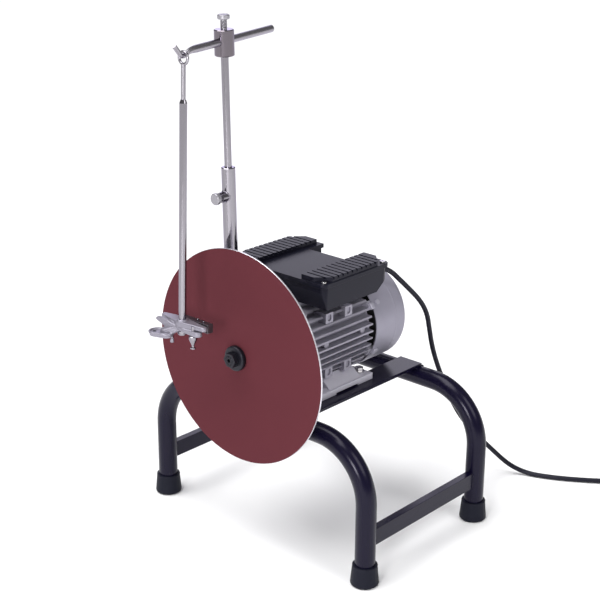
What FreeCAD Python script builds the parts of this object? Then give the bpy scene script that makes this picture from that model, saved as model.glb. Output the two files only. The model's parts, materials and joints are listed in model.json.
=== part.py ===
import FreeCAD, Part
import math
import os
import Sketcher

# Pendulum disc grinder for shearing combs and cutters, in millimetres.
# +Z is up, the disc faces -Y, and the origin is on the floor under the middle of the machine.

Vector = FreeCAD.Vector
Placement = FreeCAD.Placement
Rotation = FreeCAD.Rotation

SIZES = [
    # Stand
    ("front_arch_y", -62, "plane of the front arch"),
    ("arch_spacing", 247, "front arch to rear arch"),
    ("leg_spacing", 388, "left leg to right leg, between tube centres"),
    ("arch_height", 209.5, "floor to the top of the arch tubes"),
    ("arch_bend_radius", 80, "bend of the arches at the tube centre"),
    ("tube_diameter", 28, "arch tube outside"),
    ("tube_wall", 1.5, "arch tube wall"),
    ("rail_width", 40, "flat bar across the arches"),
    ("rail_thickness", 5, "flat bar thickness"),
    ("rail_spacing", 139, "left bar to right bar, between centres"),
    ("rail_overhang", 10, "bar past the front arch plane"),
    ("rail_tail", 2, "bar past the rear arch plane"),
    ("side_bar_height", 24, "low bar between front and rear leg"),
    ("side_bar_width", 11, "low bar thickness"),
    ("side_bar_level", 66, "floor to the middle of the low bar"),
    ("foot_diameter", 39, "rubber foot at its base"),
    ("foot_rim_diameter", 34, "rubber foot at its mouth"),
    ("foot_height", 30, "rubber foot"),
    ("foot_sole", 6, "rubber under the tube end"),
    ("foot_round", 4, "rounding of the foot's base"),
    # Motor frame
    ("shaft_height", 71, "rails to the spindle axis"),
    ("shoulder_y", -52, "shaft shoulder"),
    ("shoulder_to_hole", 45, "shaft shoulder to the front foot hole"),
    ("foot_hole_across", 112, "foot holes, left to right"),
    ("foot_hole_along", 90, "foot holes, front to rear"),
    ("foot_width", 147, "over both motor feet"),
    ("foot_inner_gap", 72, "between the motor feet"),
    ("foot_length", 110, "motor foot, front to rear"),
    ("foot_thickness", 9.5, "motor foot plate"),
    ("foot_web_length", 66, "sloping web of the foot"),
    ("foot_web_height", 14, "sloping web above the plate"),
    ("foot_relief", 2.5, "hollow under the middle of the foot"),
    ("foot_relief_length", 46, "hollow under the middle of the foot"),
    ("bolt_diameter", 7, "motor bolt shank"),
    ("bolt_hole_diameter", 7.4, "foot and rail holes"),
    ("bolt_head_across", 11, "hexagon across corners is a little more"),
    ("bolt_head_height", 5, "motor bolt head"),
    ("bolt_nut_height", 5.5, "motor bolt nut"),
    ("washer_diameter", 16, "motor washer"),
    ("washer_thickness", 1.6, "motor washer"),
    # Finned housing and end shields
    ("housing_front", -34, "front face of the housing"),
    ("housing_length", 130, "finned housing"),
    ("core_diameter", 116, "housing without its fins"),
    ("bore_diameter", 106, "housing bore, which holds the stator"),
    ("fin_diameter", 140, "over the fin tips"),
    ("fin_thickness", 2.6, "cooling fin"),
    ("fin_pitch", 10.5, "fin to fin"),
    ("fin_count", 11, "fins on each side"),
    ("boss_width", 15, "square boss for a foot screw"),
    ("boss_reach", 61, "axis to the boss face"),
    ("boss_level", 40, "axis to the boss centre, up and down"),
    ("boss_front", 12, "front boss"),
    ("boss_spacing", 40, "front boss to rear boss"),
    ("boss_recess", 2.2, "depth of the recess in a boss"),
    ("boss_recess_width", 7.5, "width of the recess in a boss"),
    ("ejector_pad_diameter", 9, "round pad on the fins"),
    ("ejector_pad_front", 1, "front pad"),
    ("ejector_pad_spacing", 76, "front pad to rear pad"),
    ("ejector_pad_reach", 66, "axis to the face of a pad"),
    ("shield_boss_radius", 6.5, "bolt boss at the housing ends"),
    ("shield_boss_length", 16, "bolt boss at the housing ends"),
    ("shield_bolt_circle", 126, "shield bolts"),
    ("shield_bolt_angle", 50, "shield bolts above the horizontal"),
    ("shield_bolt_diameter", 5, "shield bolt shank"),
    ("shield_bolt_length", 20, "shield bolt shank"),
    ("shield_bolt_head", 8, "shield bolt head, across flats"),
    ("shield_bolt_head_height", 3.5, "shield bolt head"),
    ("shield_rim_width", 8, "rim of an end shield"),
    ("front_rim_diameter", 139, "front end shield"),
    ("rear_rim_diameter", 118, "rear end shield"),
    ("shield_hub_diameter", 48, "bearing hub of an end shield"),
    ("shield_hub_length", 16, "bearing hub past the housing face"),
    ("shield_spigot", 4, "depth of the shield in the housing bore"),
    ("shield_wall", 5, "wall of the end shields"),
    ("bearing_diameter", 35, "ball bearing outside"),
    ("bearing_width", 11, "ball bearing"),
    ("bearing_bore", 15, "ball bearing bore"),
    ("running_clearance", 0.04, "round running fits, on the radius"),
    # Rotating parts inside the motor
    ("shaft_diameter", 14, "output end of the shaft"),
    ("shaft_extension", 30, "output end past the shoulder"),
    ("shaft_body_diameter", 19, "shaft inside the rotor"),
    ("shaft_tail_diameter", 12, "fan end of the shaft"),
    ("shaft_tail_length", 24, "fan end of the shaft"),
    ("key_width", 5, "shaft key"),
    ("key_length", 16, "shaft key"),
    ("key_seat", 3, "depth of the key in the shaft"),
    ("stack_front", 2, "front face of the laminated stack"),
    ("stack_length", 60, "laminated stack"),
    ("stator_bore", 61, "stator bore"),
    ("air_gap", 0.35, "stator to rotor"),
    ("winding_overhang", 20, "end winding past the stack"),
    ("winding_inner", 68, "end winding inside"),
    ("winding_outer", 98, "end winding outside"),
    ("winding_round", 4, "rounding of the end winding"),
    ("fan_diameter", 118, "cooling fan"),
    ("fan_hub_diameter", 28, "cooling fan hub"),
    ("fan_plate", 2.5, "cooling fan back plate"),
    ("fan_blade_height", 16, "cooling fan blade"),
    ("fan_blade_width", 2, "cooling fan blade"),
    ("fan_blade_count", 8, "cooling fan blades"),
    ("fan_gap", 4, "fan plate behind the rear shield hub"),
    # Fan cover
    ("cover_gap", 6, "housing to the open edge of the fan cover"),
    ("cover_length", 71, "fan cover"),
    ("cover_diameter", 143, "fan cover outside"),
    ("cover_wall", 1.4, "fan cover sheet"),
    ("cover_round", 11, "rounded rear edge of the fan cover"),
    ("cover_bead", 0.3, "rolled bead round the fan cover"),
    ("cover_bead_inset", 44, "open edge of the fan cover to the bead"),
    ("cover_bead_width", 4, "rolled bead"),
    ("cover_slot_inner", 18, "air slots start"),
    ("cover_slot_outer", 50, "air slots end"),
    ("cover_slot_width", 5, "air slots"),
    ("cover_slot_count", 16, "air slots"),
    ("lug_angle", 31, "fan cover lugs above and below the horizontal"),
    ("lug_width", 12, "fan cover lug"),
    ("lug_length", 24, "fan cover lug along the motor"),
    ("cover_screw_inset", 11, "open edge of the fan cover to its screws"),
    ("cover_screw_head", 7.5, "fan cover screw head"),
    ("cover_screw_rise", 2, "fan cover screw head"),
    # Terminal box
    ("box_bottom", 64.5, "spindle axis to the bottom of the tray"),
    ("box_lip", 96.5, "spindle axis to the joint of tray and lid"),
    ("box_floor", 3, "tray floor"),
    ("box_wall", 2.5, "tray and lid walls"),
    ("box_width", 166, "tray across"),
    ("box_front", -26, "front wall of the tray"),
    ("box_length", 134, "tray, front to rear"),
    ("box_corner", 9, "rounded corners of the tray"),
    ("tray_rear_rise", 17.5, "slope under the rear end of the tray, upwards"),
    ("tray_rear_run", 23, "slope under the rear end of the tray, along it"),
    ("tray_front_rise", 25, "slope of the tray's front wall, upwards"),
    ("tray_front_run", 7, "slope of the tray's front wall, along it"),
    ("tray_front_solid", 14, "front wall to the hollows of the tray"),
    ("tray_rear_solid", 26, "rear wall to the hollows of the tray"),
    ("lip_overhang", 2.5, "lid past the tray"),
    ("lip_thickness", 6, "lid plate"),
    ("block_rise", 7, "ribbed block above the lid plate"),
    ("block_inner", 44, "axis to the inner edge of a ribbed block"),
    ("block_inset", 1.5, "ribbed block inside the lid edge"),
    ("block_tail", 8, "lid past the rear end of the blocks"),
    ("block_corner", 18, "bevel at the outer corners of a ribbed block"),
    ("groove_width", 2.6, "groove in a ribbed block"),
    ("groove_depth", 3.2, "groove in a ribbed block"),
    ("groove_pitch", 9.6, "groove to groove"),
    ("groove_count", 12, "grooves"),
    ("groove_margin", 9, "block end to the first groove"),
    ("notch_width", 80, "gap between the blocks at the rear"),
    ("notch_depth", 34, "depth of that gap"),
    ("seat_width", 60, "pad on the housing under the tray"),
    ("capacitor_diameter", 29, "start and run capacitor"),
    ("capacitor_length", 80, "start and run capacitor"),
    ("capacitor_x", 62, "axis to the capacitor centre"),
    ("lid_screw_x", 78.5, "axis to the lid screws"),
    ("lid_screw_front", -20.5, "front lid screws"),
    ("lid_screw_rear", 101.5, "rear lid screws"),
    ("lid_screw_head", 7, "lid screw head"),
    ("lid_screw_rise", 2.4, "lid screw head"),
    ("lid_screw_shank", 3.5, "lid screw shank"),
    ("lid_screw_length", 14, "lid screw shank"),
    # Disc and its hub
    ("disc_front", -105, "face of the abrasive"),
    ("disc_diameter", 300, "grinding disc"),
    ("disc_thickness", 2.5, "disc plate"),
    ("abrasive_thickness", 1, "abrasive sheet"),
    ("abrasive_margin", 0.4, "bare rim of the disc"),
    ("hub_diameter", 30, "hub sleeve"),
    ("hub_flange_diameter", 72, "hub flange behind the disc"),
    ("hub_flange", 8, "hub flange"),
    ("hub_gap", 2, "shoulder to the rear end of the hub"),
    ("stud_diameter", 12, "stud through the disc"),
    ("stud_tip", 0.6, "stud past the nut"),
    ("stud_depth", 14, "stud in the hub"),
    ("stud_socket", 6, "hexagon socket in the stud, across corners"),
    ("stud_socket_depth", 4, "hexagon socket in the stud"),
    ("clamp_washer_diameter", 35, "washer on the disc"),
    ("clamp_washer_thickness", 7.5, "washer on the disc"),
    ("nut_across", 19, "disc nut across flats"),
    ("nut_height", 8, "disc nut"),
    # Mast and cross arm
    ("mast_x", -47.5, "mast foot on the front arch"),
    ("mast_notch", 0.6, "left rail clear of the mast tube"),
    ("mast_lean", 1.5, "mast forward lean in degrees"),
    ("mast_diameter", 19, "lower mast tube"),
    ("mast_top", 338, "arch tube centre to the top of the mast tube"),
    ("mast_bore_floor", 60, "arch tube centre to the floor of the mast bore"),
    ("mast_rod_diameter", 10, "upper mast rod"),
    ("mast_rod_foot", 226, "arch tube centre to the lower end of the rod"),
    ("mast_screw_level", 299, "arch tube centre to the mast screw"),
    ("mast_boss_diameter", 14.5, "welded boss of the mast screw"),
    ("mast_boss_length", 7, "welded boss past the tube"),
    ("screw_diameter", 8, "thumb screw stem"),
    ("screw_head_diameter", 16, "thumb screw head"),
    ("screw_head_height", 6, "thumb screw head"),
    ("screw_head_round", 1.6, "thumb screw head edges"),
    ("mast_screw_stem", 5, "mast screw stem outside the boss"),
    ("block_level", 484.5, "arch tube centre to the underside of the cross block"),
    ("block_diameter", 26, "cross block"),
    ("block_height", 34, "cross block"),
    ("block_chamfer", 1, "cross block edges"),
    ("block_socket", 13, "depth of the rod in the cross block"),
    ("arm_level", 18.6, "underside of the block to the arm"),
    ("arm_screw_stem", 12.5, "arm screw stem above the block"),
    ("tip_gap", 0.3, "screw tip to what it clamps"),
    ("arm_diameter", 10, "cross arm"),
    ("arm_yaw", 9.4, "arm turned to the right in degrees"),
    ("arm_rear", 107, "mast to the rear end of the arm"),
    ("arm_taper_start", 58, "mast to the start of the taper"),
    ("arm_taper_end", 66, "mast to the end of the taper"),
    ("arm_chamfer", 0.8, "arm end"),
    ("hook_diameter", 6, "hook at the end of the arm"),
    ("hook_reach", 85, "mast to the lowest point of the hook"),
    ("hook_drop", 4.8, "arm to the lowest point of the hook"),
    ("hook_valley", 9, "radius of the hook's valley"),
    ("hook_rise", 48, "slope of the hook's tip in degrees"),
    ("hook_tip", 16.5, "straight tip of the hook"),
    # Pendulum
    ("pendulum_lean", 2.1, "foot of the pendulum forward in degrees"),
    ("eye_diameter", 15.2, "eye ring at the middle of its wire"),
    ("eye_wire", 3.8, "eye ring wire"),
    ("eye_play", 0.4, "eye ring above the hook"),
    ("eye_rod_diameter", 6, "eye rod"),
    ("eye_rod_end", 92, "hook to the lower end of the eye rod"),
    ("sleeve_top", 53.5, "hook to the top of the pendulum tube"),
    ("sleeve_cone", 4.5, "cone at the top of the tube"),
    ("sleeve_diameter", 10, "pendulum tube"),
    ("sleeve_foot", 361, "hook to the lower end of the tube"),
    # Comb holder
    ("jaw_top", 343, "hook to the top of the upper jaw"),
    ("jaw_thickness", 6.5, "upper and lower jaw"),
    ("jaw_gap", 0.8, "between the jaws"),
    ("jaw_hub", 11, "radius of the jaws round the tube"),
    ("jaw_back", 9, "tube to the back of the jaws"),
    ("upper_right_reach", 38, "tube to the right end of the upper jaw"),
    ("upper_right_front", -1.5, "right end of the upper jaw towards the front"),
    ("fin_rise", 5, "raised rib on the left arm of the upper jaw"),
    ("fin_rib_radius", 3.2, "ends of the raised rib"),
    ("saddle_rise", 4, "raised collar of the upper jaw"),
    ("saddle_radius", 8.5, "raised collar of the upper jaw"),
    ("jaw_tip_radius", 6.5, "rounded right ends of the jaws"),
    ("fin_reach", 37, "tube to the left end of the upper jaw"),
    ("fin_front", 4, "left end of the upper jaw towards the front"),
    ("fin_tip_radius", 4, "left end of the upper jaw"),
    ("lower_right_reach", 34, "tube to the right end of the lower jaw"),
    ("lower_right_front", 5, "right end of the lower jaw towards the front"),
    ("tongue_reach", 27, "tube to the tongue end, sideways"),
    ("tongue_front", 21, "tube to the tongue end, towards the front"),
    ("tongue_radius", 9, "rounded end of the tongue"),
    ("tongue_thickness", 10.5, "tongue"),
    ("tongue_step", 4.5, "top of the tongue below the top of the lower jaw"),
    ("tongue_root", 0.64, "start of the tongue, as a share of its reach"),
    ("tongue_root_radius", 6.5, "start of the tongue"),
    ("tongue_hole", 4.4, "hole in the tongue"),
    ("tongue_rim", 1.2, "raised rim of the tongue"),
    ("tongue_rim_width", 2.4, "width of the raised rim"),
    ("bar_left", 43, "tube to the left end of the steel bar"),
    ("bar_right", 38, "tube to the right end of the steel bar"),
    ("bar_depth", 10, "steel bar, front to rear"),
    ("bar_height", 12, "steel bar"),
    ("bar_rise", 0.3, "steel bar above the upper jaw"),
    ("pin_diameter", 3.2, "comb pins on the bar"),
    ("pin_rise", 2.2, "comb pins on the bar"),
    ("pin_first", 14, "tube to the first comb pin"),
    ("pin_spacing", 11, "comb pin to comb pin"),
    ("holder_nut_diameter", 13, "round nut under the jaws"),
    ("holder_nut_height", 6.5, "round nut under the jaws"),
    ("jaw_screw_x", 25, "tube to the jaw screw"),
    ("jaw_screw_front", 4.5, "jaw screw towards the front"),
    ("jaw_screw_diameter", 5, "jaw screw stem"),
    ("jaw_knob_diameter", 11, "jaw screw knob"),
    ("jaw_knob_height", 13, "jaw screw knob"),
    ("jaw_button_diameter", 7, "foot of the jaw screw knob"),
    ("jaw_button_height", 1.6, "foot of the jaw screw knob"),
    ("jaw_neck_diameter", 3.4, "neck of the jaw screw knob"),
    ("jaw_neck_height", 3, "neck of the jaw screw knob"),
    ("stop_screw_x", -8.5, "tube to the stop screw"),
    ("stop_screw_front", 11, "stop screw towards the front"),
    ("stop_screw_diameter", 3, "stop screw stem"),
    ("stop_screw_drop", 8, "stop screw below the jaw"),
    ("stop_screw_head", 5, "stop screw head"),
    # Mains lead
    ("cord_diameter", 7.3, "mains lead"),
    ("gland_level", 82.5, "spindle axis to the end of the gland"),
    ("gland_reach", 21, "rear wall of the tray to the end of the gland"),
    ("gland_diameter", 13, "gland flange"),
    ("gland_flange", 3, "gland flange"),
    ("gland_root", 10.5, "gland at its root"),
    ("gland_tip", 8.7, "gland at its tip"),
    ("gland_droop", 20, "gland downwards in degrees"),
    ("coil_radius", 50, "first turn of the coil"),
    ("coil_pitch", 7.95, "turn to turn and layer to layer"),
    ("coil_lift", 1.4, "coil above the floor, over its tie"),
    ("coil_tail", 44, "straight end of the coil"),
    ("tie_width", 9, "tie round the coil"),
    ("tie_thickness", 1, "tie round the coil"),
    ("tie_clearance", 0.3, "tie to the turns"),
    ("plug_width", 32, "plug body"),
    ("plug_height", 23, "plug body"),
    ("plug_length", 40, "plug body"),
    ("plug_nose", 18, "tapered rear of the plug"),
    ("plug_pin_diameter", 4.8, "plug pins"),
    ("plug_pin_length", 19, "plug pins"),
    ("plug_pin_spacing", 19, "plug pins"),
]

# Mains lead from the gland to the coil: points chosen along the photographed curve.
CORD_ROUTE = [
    (62, 129, 368),
    (63, 141.5, 361.5),
    (66, 154, 349),
    (70, 169.5, 333.5),
    (76, 195, 307),
    (79.5, 208, 284),
    (81, 213, 259),
    (82, 220, 229),
    (86, 231, 195),
    (92, 243.5, 163),
    (103, 260, 119),
    (117, 281, 84),
    (131, 303, 57),
    (142, 321, 35),
    (152, 335.5, 18),
    (165, 346, 8),
    (184, 353.5, 3.9),
    (204, 361.5, 3.9),
    (226, 373, 3.9),
    (251, 389, 3.9),
    (282, 411, 4.4),
]
COIL_START = (318, 441)
BOTTOM_HALF_TURNS = 4
TOP_HALF_TURNS = 3

doc = FreeCAD.newDocument("disc_grinder")
sheet = doc.addObject("Spreadsheet::Sheet", "sizes")
for row, (alias, amount, meaning) in enumerate(SIZES, start=1):
    sheet.set(f"A{row}", meaning)
    sheet.set(f"B{row}", str(amount))
    sheet.setAlias(f"B{row}", alias)
doc.recompute()


class Size:
    """A number that keeps the sheet formula which it comes from."""

    def __init__(self, amount, formula):
        self.amount = float(amount)
        self.formula = formula

    def __add__(self, other):
        return Size(self.amount + amount_of(other), f"({self.formula} + {formula_of(other)})")

    def __radd__(self, other):
        return Size(amount_of(other) + self.amount, f"({formula_of(other)} + {self.formula})")

    def __sub__(self, other):
        return Size(self.amount - amount_of(other), f"({self.formula} - {formula_of(other)})")

    def __rsub__(self, other):
        return Size(amount_of(other) - self.amount, f"({formula_of(other)} - {self.formula})")

    def __mul__(self, other):
        return Size(self.amount * amount_of(other), f"({self.formula} * {formula_of(other)})")

    def __rmul__(self, other):
        return self * other

    def __truediv__(self, other):
        return Size(self.amount / amount_of(other), f"({self.formula} / {formula_of(other)})")

    def __neg__(self):
        return Size(-self.amount, f"(-{self.formula})")


def amount_of(value):
    return value.amount if isinstance(value, Size) else float(value)


def formula_of(value):
    return value.formula if isinstance(value, Size) else repr(value)


def cosine(angle):
    return Size(math.cos(math.radians(angle.amount)), f"cos({angle.formula})")


def sine(angle):
    return Size(math.sin(math.radians(angle.amount)), f"sin({angle.formula})")


class Dimensions:
    """The sheet's cells by alias, each as a Size."""

    def __getattr__(self, alias):
        return Size(sheet.get(alias), f"sizes.{alias}")


dim = Dimensions()
pieces = []


# Helpers for objects, sketches and features

def bind(item, name, size):
    item.setExpression(name, formula_of(size))


def place(item, x=0, y=0, z=0):
    for axis, size in (("x", x), ("y", y), ("z", z)):
        bind(item, f".Placement.Base.{axis}", size)


def keep(item):
    pieces.append(item)
    return item


def new_body(name):
    return doc.addObject("PartDesign::Body", name)


def draw(body, role, at=0):
    """A sketch on one of the body's own planes, moved along that plane's axis."""
    sketch = body.newObject("Sketcher::SketchObject", f"{body.Name}_sketch")
    plane = next(item for item in body.Origin.OriginFeatures if item.Role == role)
    sketch.AttachmentSupport = [(plane, "")]
    sketch.MapMode = "FlatFace"
    normal_sign = -1 if role == "XZ_Plane" else 1
    bind(sketch, ".AttachmentOffset.Base.z", at * normal_sign)
    return sketch


def fix_point(sketch, edge, end, x, y):
    for kind, axis, size in (("DistanceX", -2, x), ("DistanceY", -1, y)):
        if abs(amount_of(size)) < 1e-9:
            sketch.addConstraint(Sketcher.Constraint("PointOnObject", edge, end, axis))
            continue
        index = sketch.addConstraint(Sketcher.Constraint(kind, -1, 1, edge, end, amount_of(size)))
        bind(sketch, f"Constraints[{index}]", size)


def arc_between(start, end, radius):
    """Minor arc from start to end, turning left for a positive radius."""
    middle = (start + end) * 0.5
    half = (end - start) * 0.5
    left = Vector(-half.y, half.x, 0).normalize()
    rise = math.sqrt(max(radius * radius - half.Length ** 2, 0))
    centre = middle + left * math.copysign(rise, radius)
    circle = Part.Circle(centre, Vector(0, 0, 1), abs(radius))
    first, last = (circle.parameter(point) for point in (start, end))
    return Part.ArcOfCircle(circle, first, last) if radius > 0 else Part.ArcOfCircle(circle, last, first)


def outline(sketch, points, closed=True):
    """Lines, and arcs where a point gives the signed radius of the edge that leads to it."""
    spots = [Vector(amount_of(point[0]), amount_of(point[1]), 0) for point in points]
    count = len(points) if closed else len(points) - 1
    ends = []
    for index in range(count):
        after = (index + 1) % len(points)
        radius = points[after][2] if len(points[after]) > 2 else None
        if radius is None:
            edge = sketch.addGeometry(Part.LineSegment(spots[index], spots[after]))
            ends.append((edge, 1, 2))
            continue
        edge = sketch.addGeometry(arc_between(spots[index], spots[after], amount_of(radius)))
        turns_left = amount_of(radius) > 0
        ends.append((edge, 1, 2) if turns_left else (edge, 2, 1))
        limit = sketch.addConstraint(Sketcher.Constraint("Radius", edge, abs(amount_of(radius))))
        bind(sketch, f"Constraints[{limit}]", radius if turns_left else -radius)
    for index in range(count if closed else count - 1):
        edge, first, last = ends[index]
        next_edge, next_first, _ = ends[(index + 1) % count]
        sketch.addConstraint(Sketcher.Constraint("Coincident", edge, last, next_edge, next_first))
    for index, (edge, first, last) in enumerate(ends):
        fix_point(sketch, edge, first, points[index][0], points[index][1])
    if not closed:
        fix_point(sketch, ends[-1][0], ends[-1][2], points[-1][0], points[-1][1])


def rectangle(sketch, left, right, low, high):
    outline(sketch, [(left, low), (right, low), (right, high), (left, high)])


def rounded_corners(left, right, low, high, radius):
    """Outline points of a rectangle with four equal round corners."""
    return [
        (right - radius, low),
        (right, low + radius, radius),
        (right, high - radius),
        (right - radius, high, radius),
        (left + radius, high),
        (left, high - radius, radius),
        (left, low + radius),
        (left + radius, low, radius),
    ]


def rounded_rectangle(sketch, left, right, low, high, radius):
    outline(sketch, rounded_corners(left, right, low, high, radius))


def circle(sketch, x, y, radius):
    centre = Vector(amount_of(x), amount_of(y), 0)
    edge = sketch.addGeometry(Part.Circle(centre, Vector(0, 0, 1), amount_of(radius)))
    fix_point(sketch, edge, 3, x, y)
    limit = sketch.addConstraint(Sketcher.Constraint("Radius", edge, amount_of(radius)))
    bind(sketch, f"Constraints[{limit}]", radius)


def link(sketch, first, first_radius, second, second_radius):
    """Two round ends joined by their common tangents."""
    ends = [Vector(amount_of(x), amount_of(y), 0) for x, y in (first, second)]
    radii = [amount_of(first_radius), amount_of(second_radius)]
    along = (ends[1] - ends[0]).normalize()
    side = Vector(-along.y, along.x, 0)
    tilt = math.asin((radii[0] - radii[1]) / (ends[1] - ends[0]).Length)
    left = along * math.sin(tilt) + side * math.cos(tilt)
    right = along * math.sin(tilt) - side * math.cos(tilt)
    spots = [[end + way * radius for way in (left, right)] for end, radius in zip(ends, radii)]
    rings = [Part.Circle(end, Vector(0, 0, 1), radius) for end, radius in zip(ends, radii)]
    near = sketch.addGeometry(Part.ArcOfCircle(
        rings[0], rings[0].parameter(spots[0][0]), rings[0].parameter(spots[0][1])))
    far = sketch.addGeometry(Part.ArcOfCircle(
        rings[1], rings[1].parameter(spots[1][1]), rings[1].parameter(spots[1][0])))
    top = sketch.addGeometry(Part.LineSegment(spots[0][0], spots[1][0]))
    low = sketch.addGeometry(Part.LineSegment(spots[0][1], spots[1][1]))
    joins = ((top, 1, near, 1), (low, 1, near, 2), (top, 2, far, 2), (low, 2, far, 1))
    for line, line_end, arc, arc_end in joins:
        sketch.addConstraint(Sketcher.Constraint("Tangent", line, line_end, arc, arc_end))
    for arc, (x, y), radius in ((near, first, first_radius), (far, second, second_radius)):
        fix_point(sketch, arc, 3, x, y)
        limit = sketch.addConstraint(Sketcher.Constraint("Radius", arc, amount_of(radius)))
        bind(sketch, f"Constraints[{limit}]", radius)


def pad(body, sketch, length, reverse=False):
    feature = body.newObject("PartDesign::Pad", f"{body.Name}_pad")
    feature.Profile = sketch
    feature.Reversed = reverse
    bind(feature, "Length", length)
    return feature


def pocket(body, sketch, length=None, reverse=False):
    """A cut of the given length against the sketch's normal, or right through both ways."""
    feature = body.newObject("PartDesign::Pocket", f"{body.Name}_pocket")
    feature.Profile = sketch
    feature.Reversed = reverse
    if length is None:
        feature.Type = "ThroughAll"
        feature.Midplane = True
    else:
        bind(feature, "Length", length)
    return feature


def ring_pattern(body, feature, sketch, count):
    pattern = body.newObject("PartDesign::PolarPattern", f"{body.Name}_ring")
    pattern.Originals = [feature]
    pattern.Axis = (sketch, ["N_Axis"])
    pattern.Angle = 360
    bind(pattern, "Occurrences", count)
    body.Tip = pattern
    return pattern


def row_pattern(body, feature, sketch, axis, length, count):
    pattern = body.newObject("PartDesign::LinearPattern", f"{body.Name}_row")
    pattern.Originals = [feature]
    pattern.Direction = (sketch, [axis])
    bind(pattern, "Length", length)
    bind(pattern, "Occurrences", count)
    body.Tip = pattern
    return pattern


def revolve(body, role, points):
    """A solid of revolution: points are radius and place along the sketch's upright axis."""
    sketch = draw(body, role)
    outline(sketch, points)
    feature = body.newObject("PartDesign::Revolution", f"{body.Name}_turned")
    feature.Profile = sketch
    feature.ReferenceAxis = (sketch, ["V_Axis"])
    feature.Angle = 360
    return feature


def turned_y(name, points):
    body = new_body(name)
    revolve(body, "XY_Plane", points)
    return body


def turned_z(name, points):
    body = new_body(name)
    revolve(body, "XZ_Plane", points)
    return body


def pipe(body, profile, path):
    feature = body.newObject("PartDesign::AdditivePipe", f"{body.Name}_pipe")
    feature.Profile = profile
    feature.Spine = path
    return feature


def cylinder(name, radius, height):
    item = doc.addObject("Part::Cylinder", name)
    bind(item, "Radius", radius)
    bind(item, "Height", height)
    return item


def prism(name, across_flats, height):
    item = doc.addObject("Part::Prism", name)
    item.Polygon = 6
    bind(item, "Circumradius", across_flats / (2 * math.cos(math.radians(30))))
    bind(item, "Height", height)
    return item


def fuse(name, first, second):
    item = doc.addObject("Part::Fuse", name)
    item.Base = first
    item.Tool = second
    return item


def cut(name, base, tool):
    item = doc.addObject("Part::Cut", name)
    item.Base = base
    item.Tool = tool
    return item


def group(name, items):
    item = doc.addObject("Part::Compound", name)
    item.Links = items
    return keep(item)


# Places that several pieces share

tube_radius = dim.tube_diameter / 2
rear_arch_y = dim.front_arch_y + dim.arch_spacing
leg_x = dim.leg_spacing / 2
arch_centre = dim.arch_height - tube_radius
rail_top = dim.arch_height + dim.rail_thickness
spindle_z = rail_top + dim.shaft_height
hole_x = dim.foot_hole_across / 2
hole_front = dim.shoulder_y + dim.shoulder_to_hole
hole_rear = hole_front + dim.foot_hole_along
housing_rear = dim.housing_front + dim.housing_length
cover_front = housing_rear + dim.cover_gap
mast_frame = Placement(
    Vector(amount_of(dim.mast_x), amount_of(dim.front_arch_y), amount_of(arch_centre)),
    Rotation(Vector(1, 0, 0), amount_of(dim.mast_lean)))
head_frame = mast_frame * Placement(
    Vector(0, 0, amount_of(dim.block_level + dim.arm_level)),
    Rotation(Vector(0, 0, 1), amount_of(dim.arm_yaw)))
hook_low = head_frame.multVec(Vector(0, -amount_of(dim.hook_reach), -amount_of(dim.hook_drop)))
pendulum_frame = Placement(hook_low, Rotation(Vector(1, 0, 0), -amount_of(dim.pendulum_lean)))


# Stand

def make_arch(name, plane_y):
    """Inverted U of bent round tube."""
    body = new_body(name)
    bend = dim.arch_bend_radius
    path = draw(body, "XZ_Plane", plane_y)
    outline(path, [
        (-leg_x, dim.foot_sole),
        (-leg_x, arch_centre - bend),
        (-leg_x + bend, arch_centre, -bend),
        (leg_x - bend, arch_centre),
        (leg_x, arch_centre - bend, -bend),
        (leg_x, dim.foot_sole),
    ], closed=False)
    profile = draw(body, "XY_Plane", dim.foot_sole)
    circle(profile, -leg_x, plane_y, tube_radius)
    circle(profile, -leg_x, plane_y, tube_radius - dim.tube_wall)
    pipe(body, profile, path)
    keep(body)


def make_rubber_feet():
    """Cups of rubber over the tube ends."""
    base = dim.foot_diameter / 2
    rim = dim.foot_rim_diameter / 2
    items = []
    for end, y in (("front", dim.front_arch_y), ("rear", rear_arch_y)):
        for side_name, side in (("left", -1), ("right", 1)):
            body = turned_z(f"{end}_{side_name}_rubber", [
                (0, 0),
                (base - dim.foot_round, 0),
                (base, dim.foot_round, dim.foot_round),
                (rim, dim.foot_height),
                (tube_radius, dim.foot_height),
                (tube_radius, dim.foot_sole),
                (0, dim.foot_sole),
            ])
            place(body, side * leg_x, y)
            items.append(body)
    group("rubber_feet", items)


def make_rail(name, side):
    """Flat bar across both arches, drilled for one motor foot."""
    body = new_body(name)
    sketch = draw(body, "XY_Plane", dim.arch_height)
    middle = side * dim.rail_spacing / 2
    rectangle(
        sketch, middle - dim.rail_width / 2, middle + dim.rail_width / 2,
        dim.front_arch_y - dim.rail_overhang, rear_arch_y + dim.rail_tail)
    for hole_y in (hole_front, hole_rear):
        circle(sketch, side * hole_x, hole_y, dim.bolt_hole_diameter / 2)
    pad(body, sketch, dim.rail_thickness)
    if side < 0:
        notch = draw(body, "XY_Plane", dim.arch_height)
        circle(notch, dim.mast_x, dim.front_arch_y, dim.mast_diameter / 2 + dim.mast_notch)
        pocket(body, notch)
    keep(body)


def make_side_bar(name, side):
    """Low bar between a front and a rear leg, coped to the tubes."""
    body = new_body(name)
    sketch = draw(body, "XY_Plane", dim.side_bar_level - dim.side_bar_height / 2)
    middle = side * leg_x
    rectangle(
        sketch, middle - dim.side_bar_width / 2, middle + dim.side_bar_width / 2,
        dim.front_arch_y, rear_arch_y)
    pad(body, sketch, dim.side_bar_height)
    cope = draw(body, "XY_Plane", dim.side_bar_level)
    for plane_y in (dim.front_arch_y, rear_arch_y):
        circle(cope, middle, plane_y, tube_radius)
    pocket(body, cope)
    keep(body)


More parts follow.
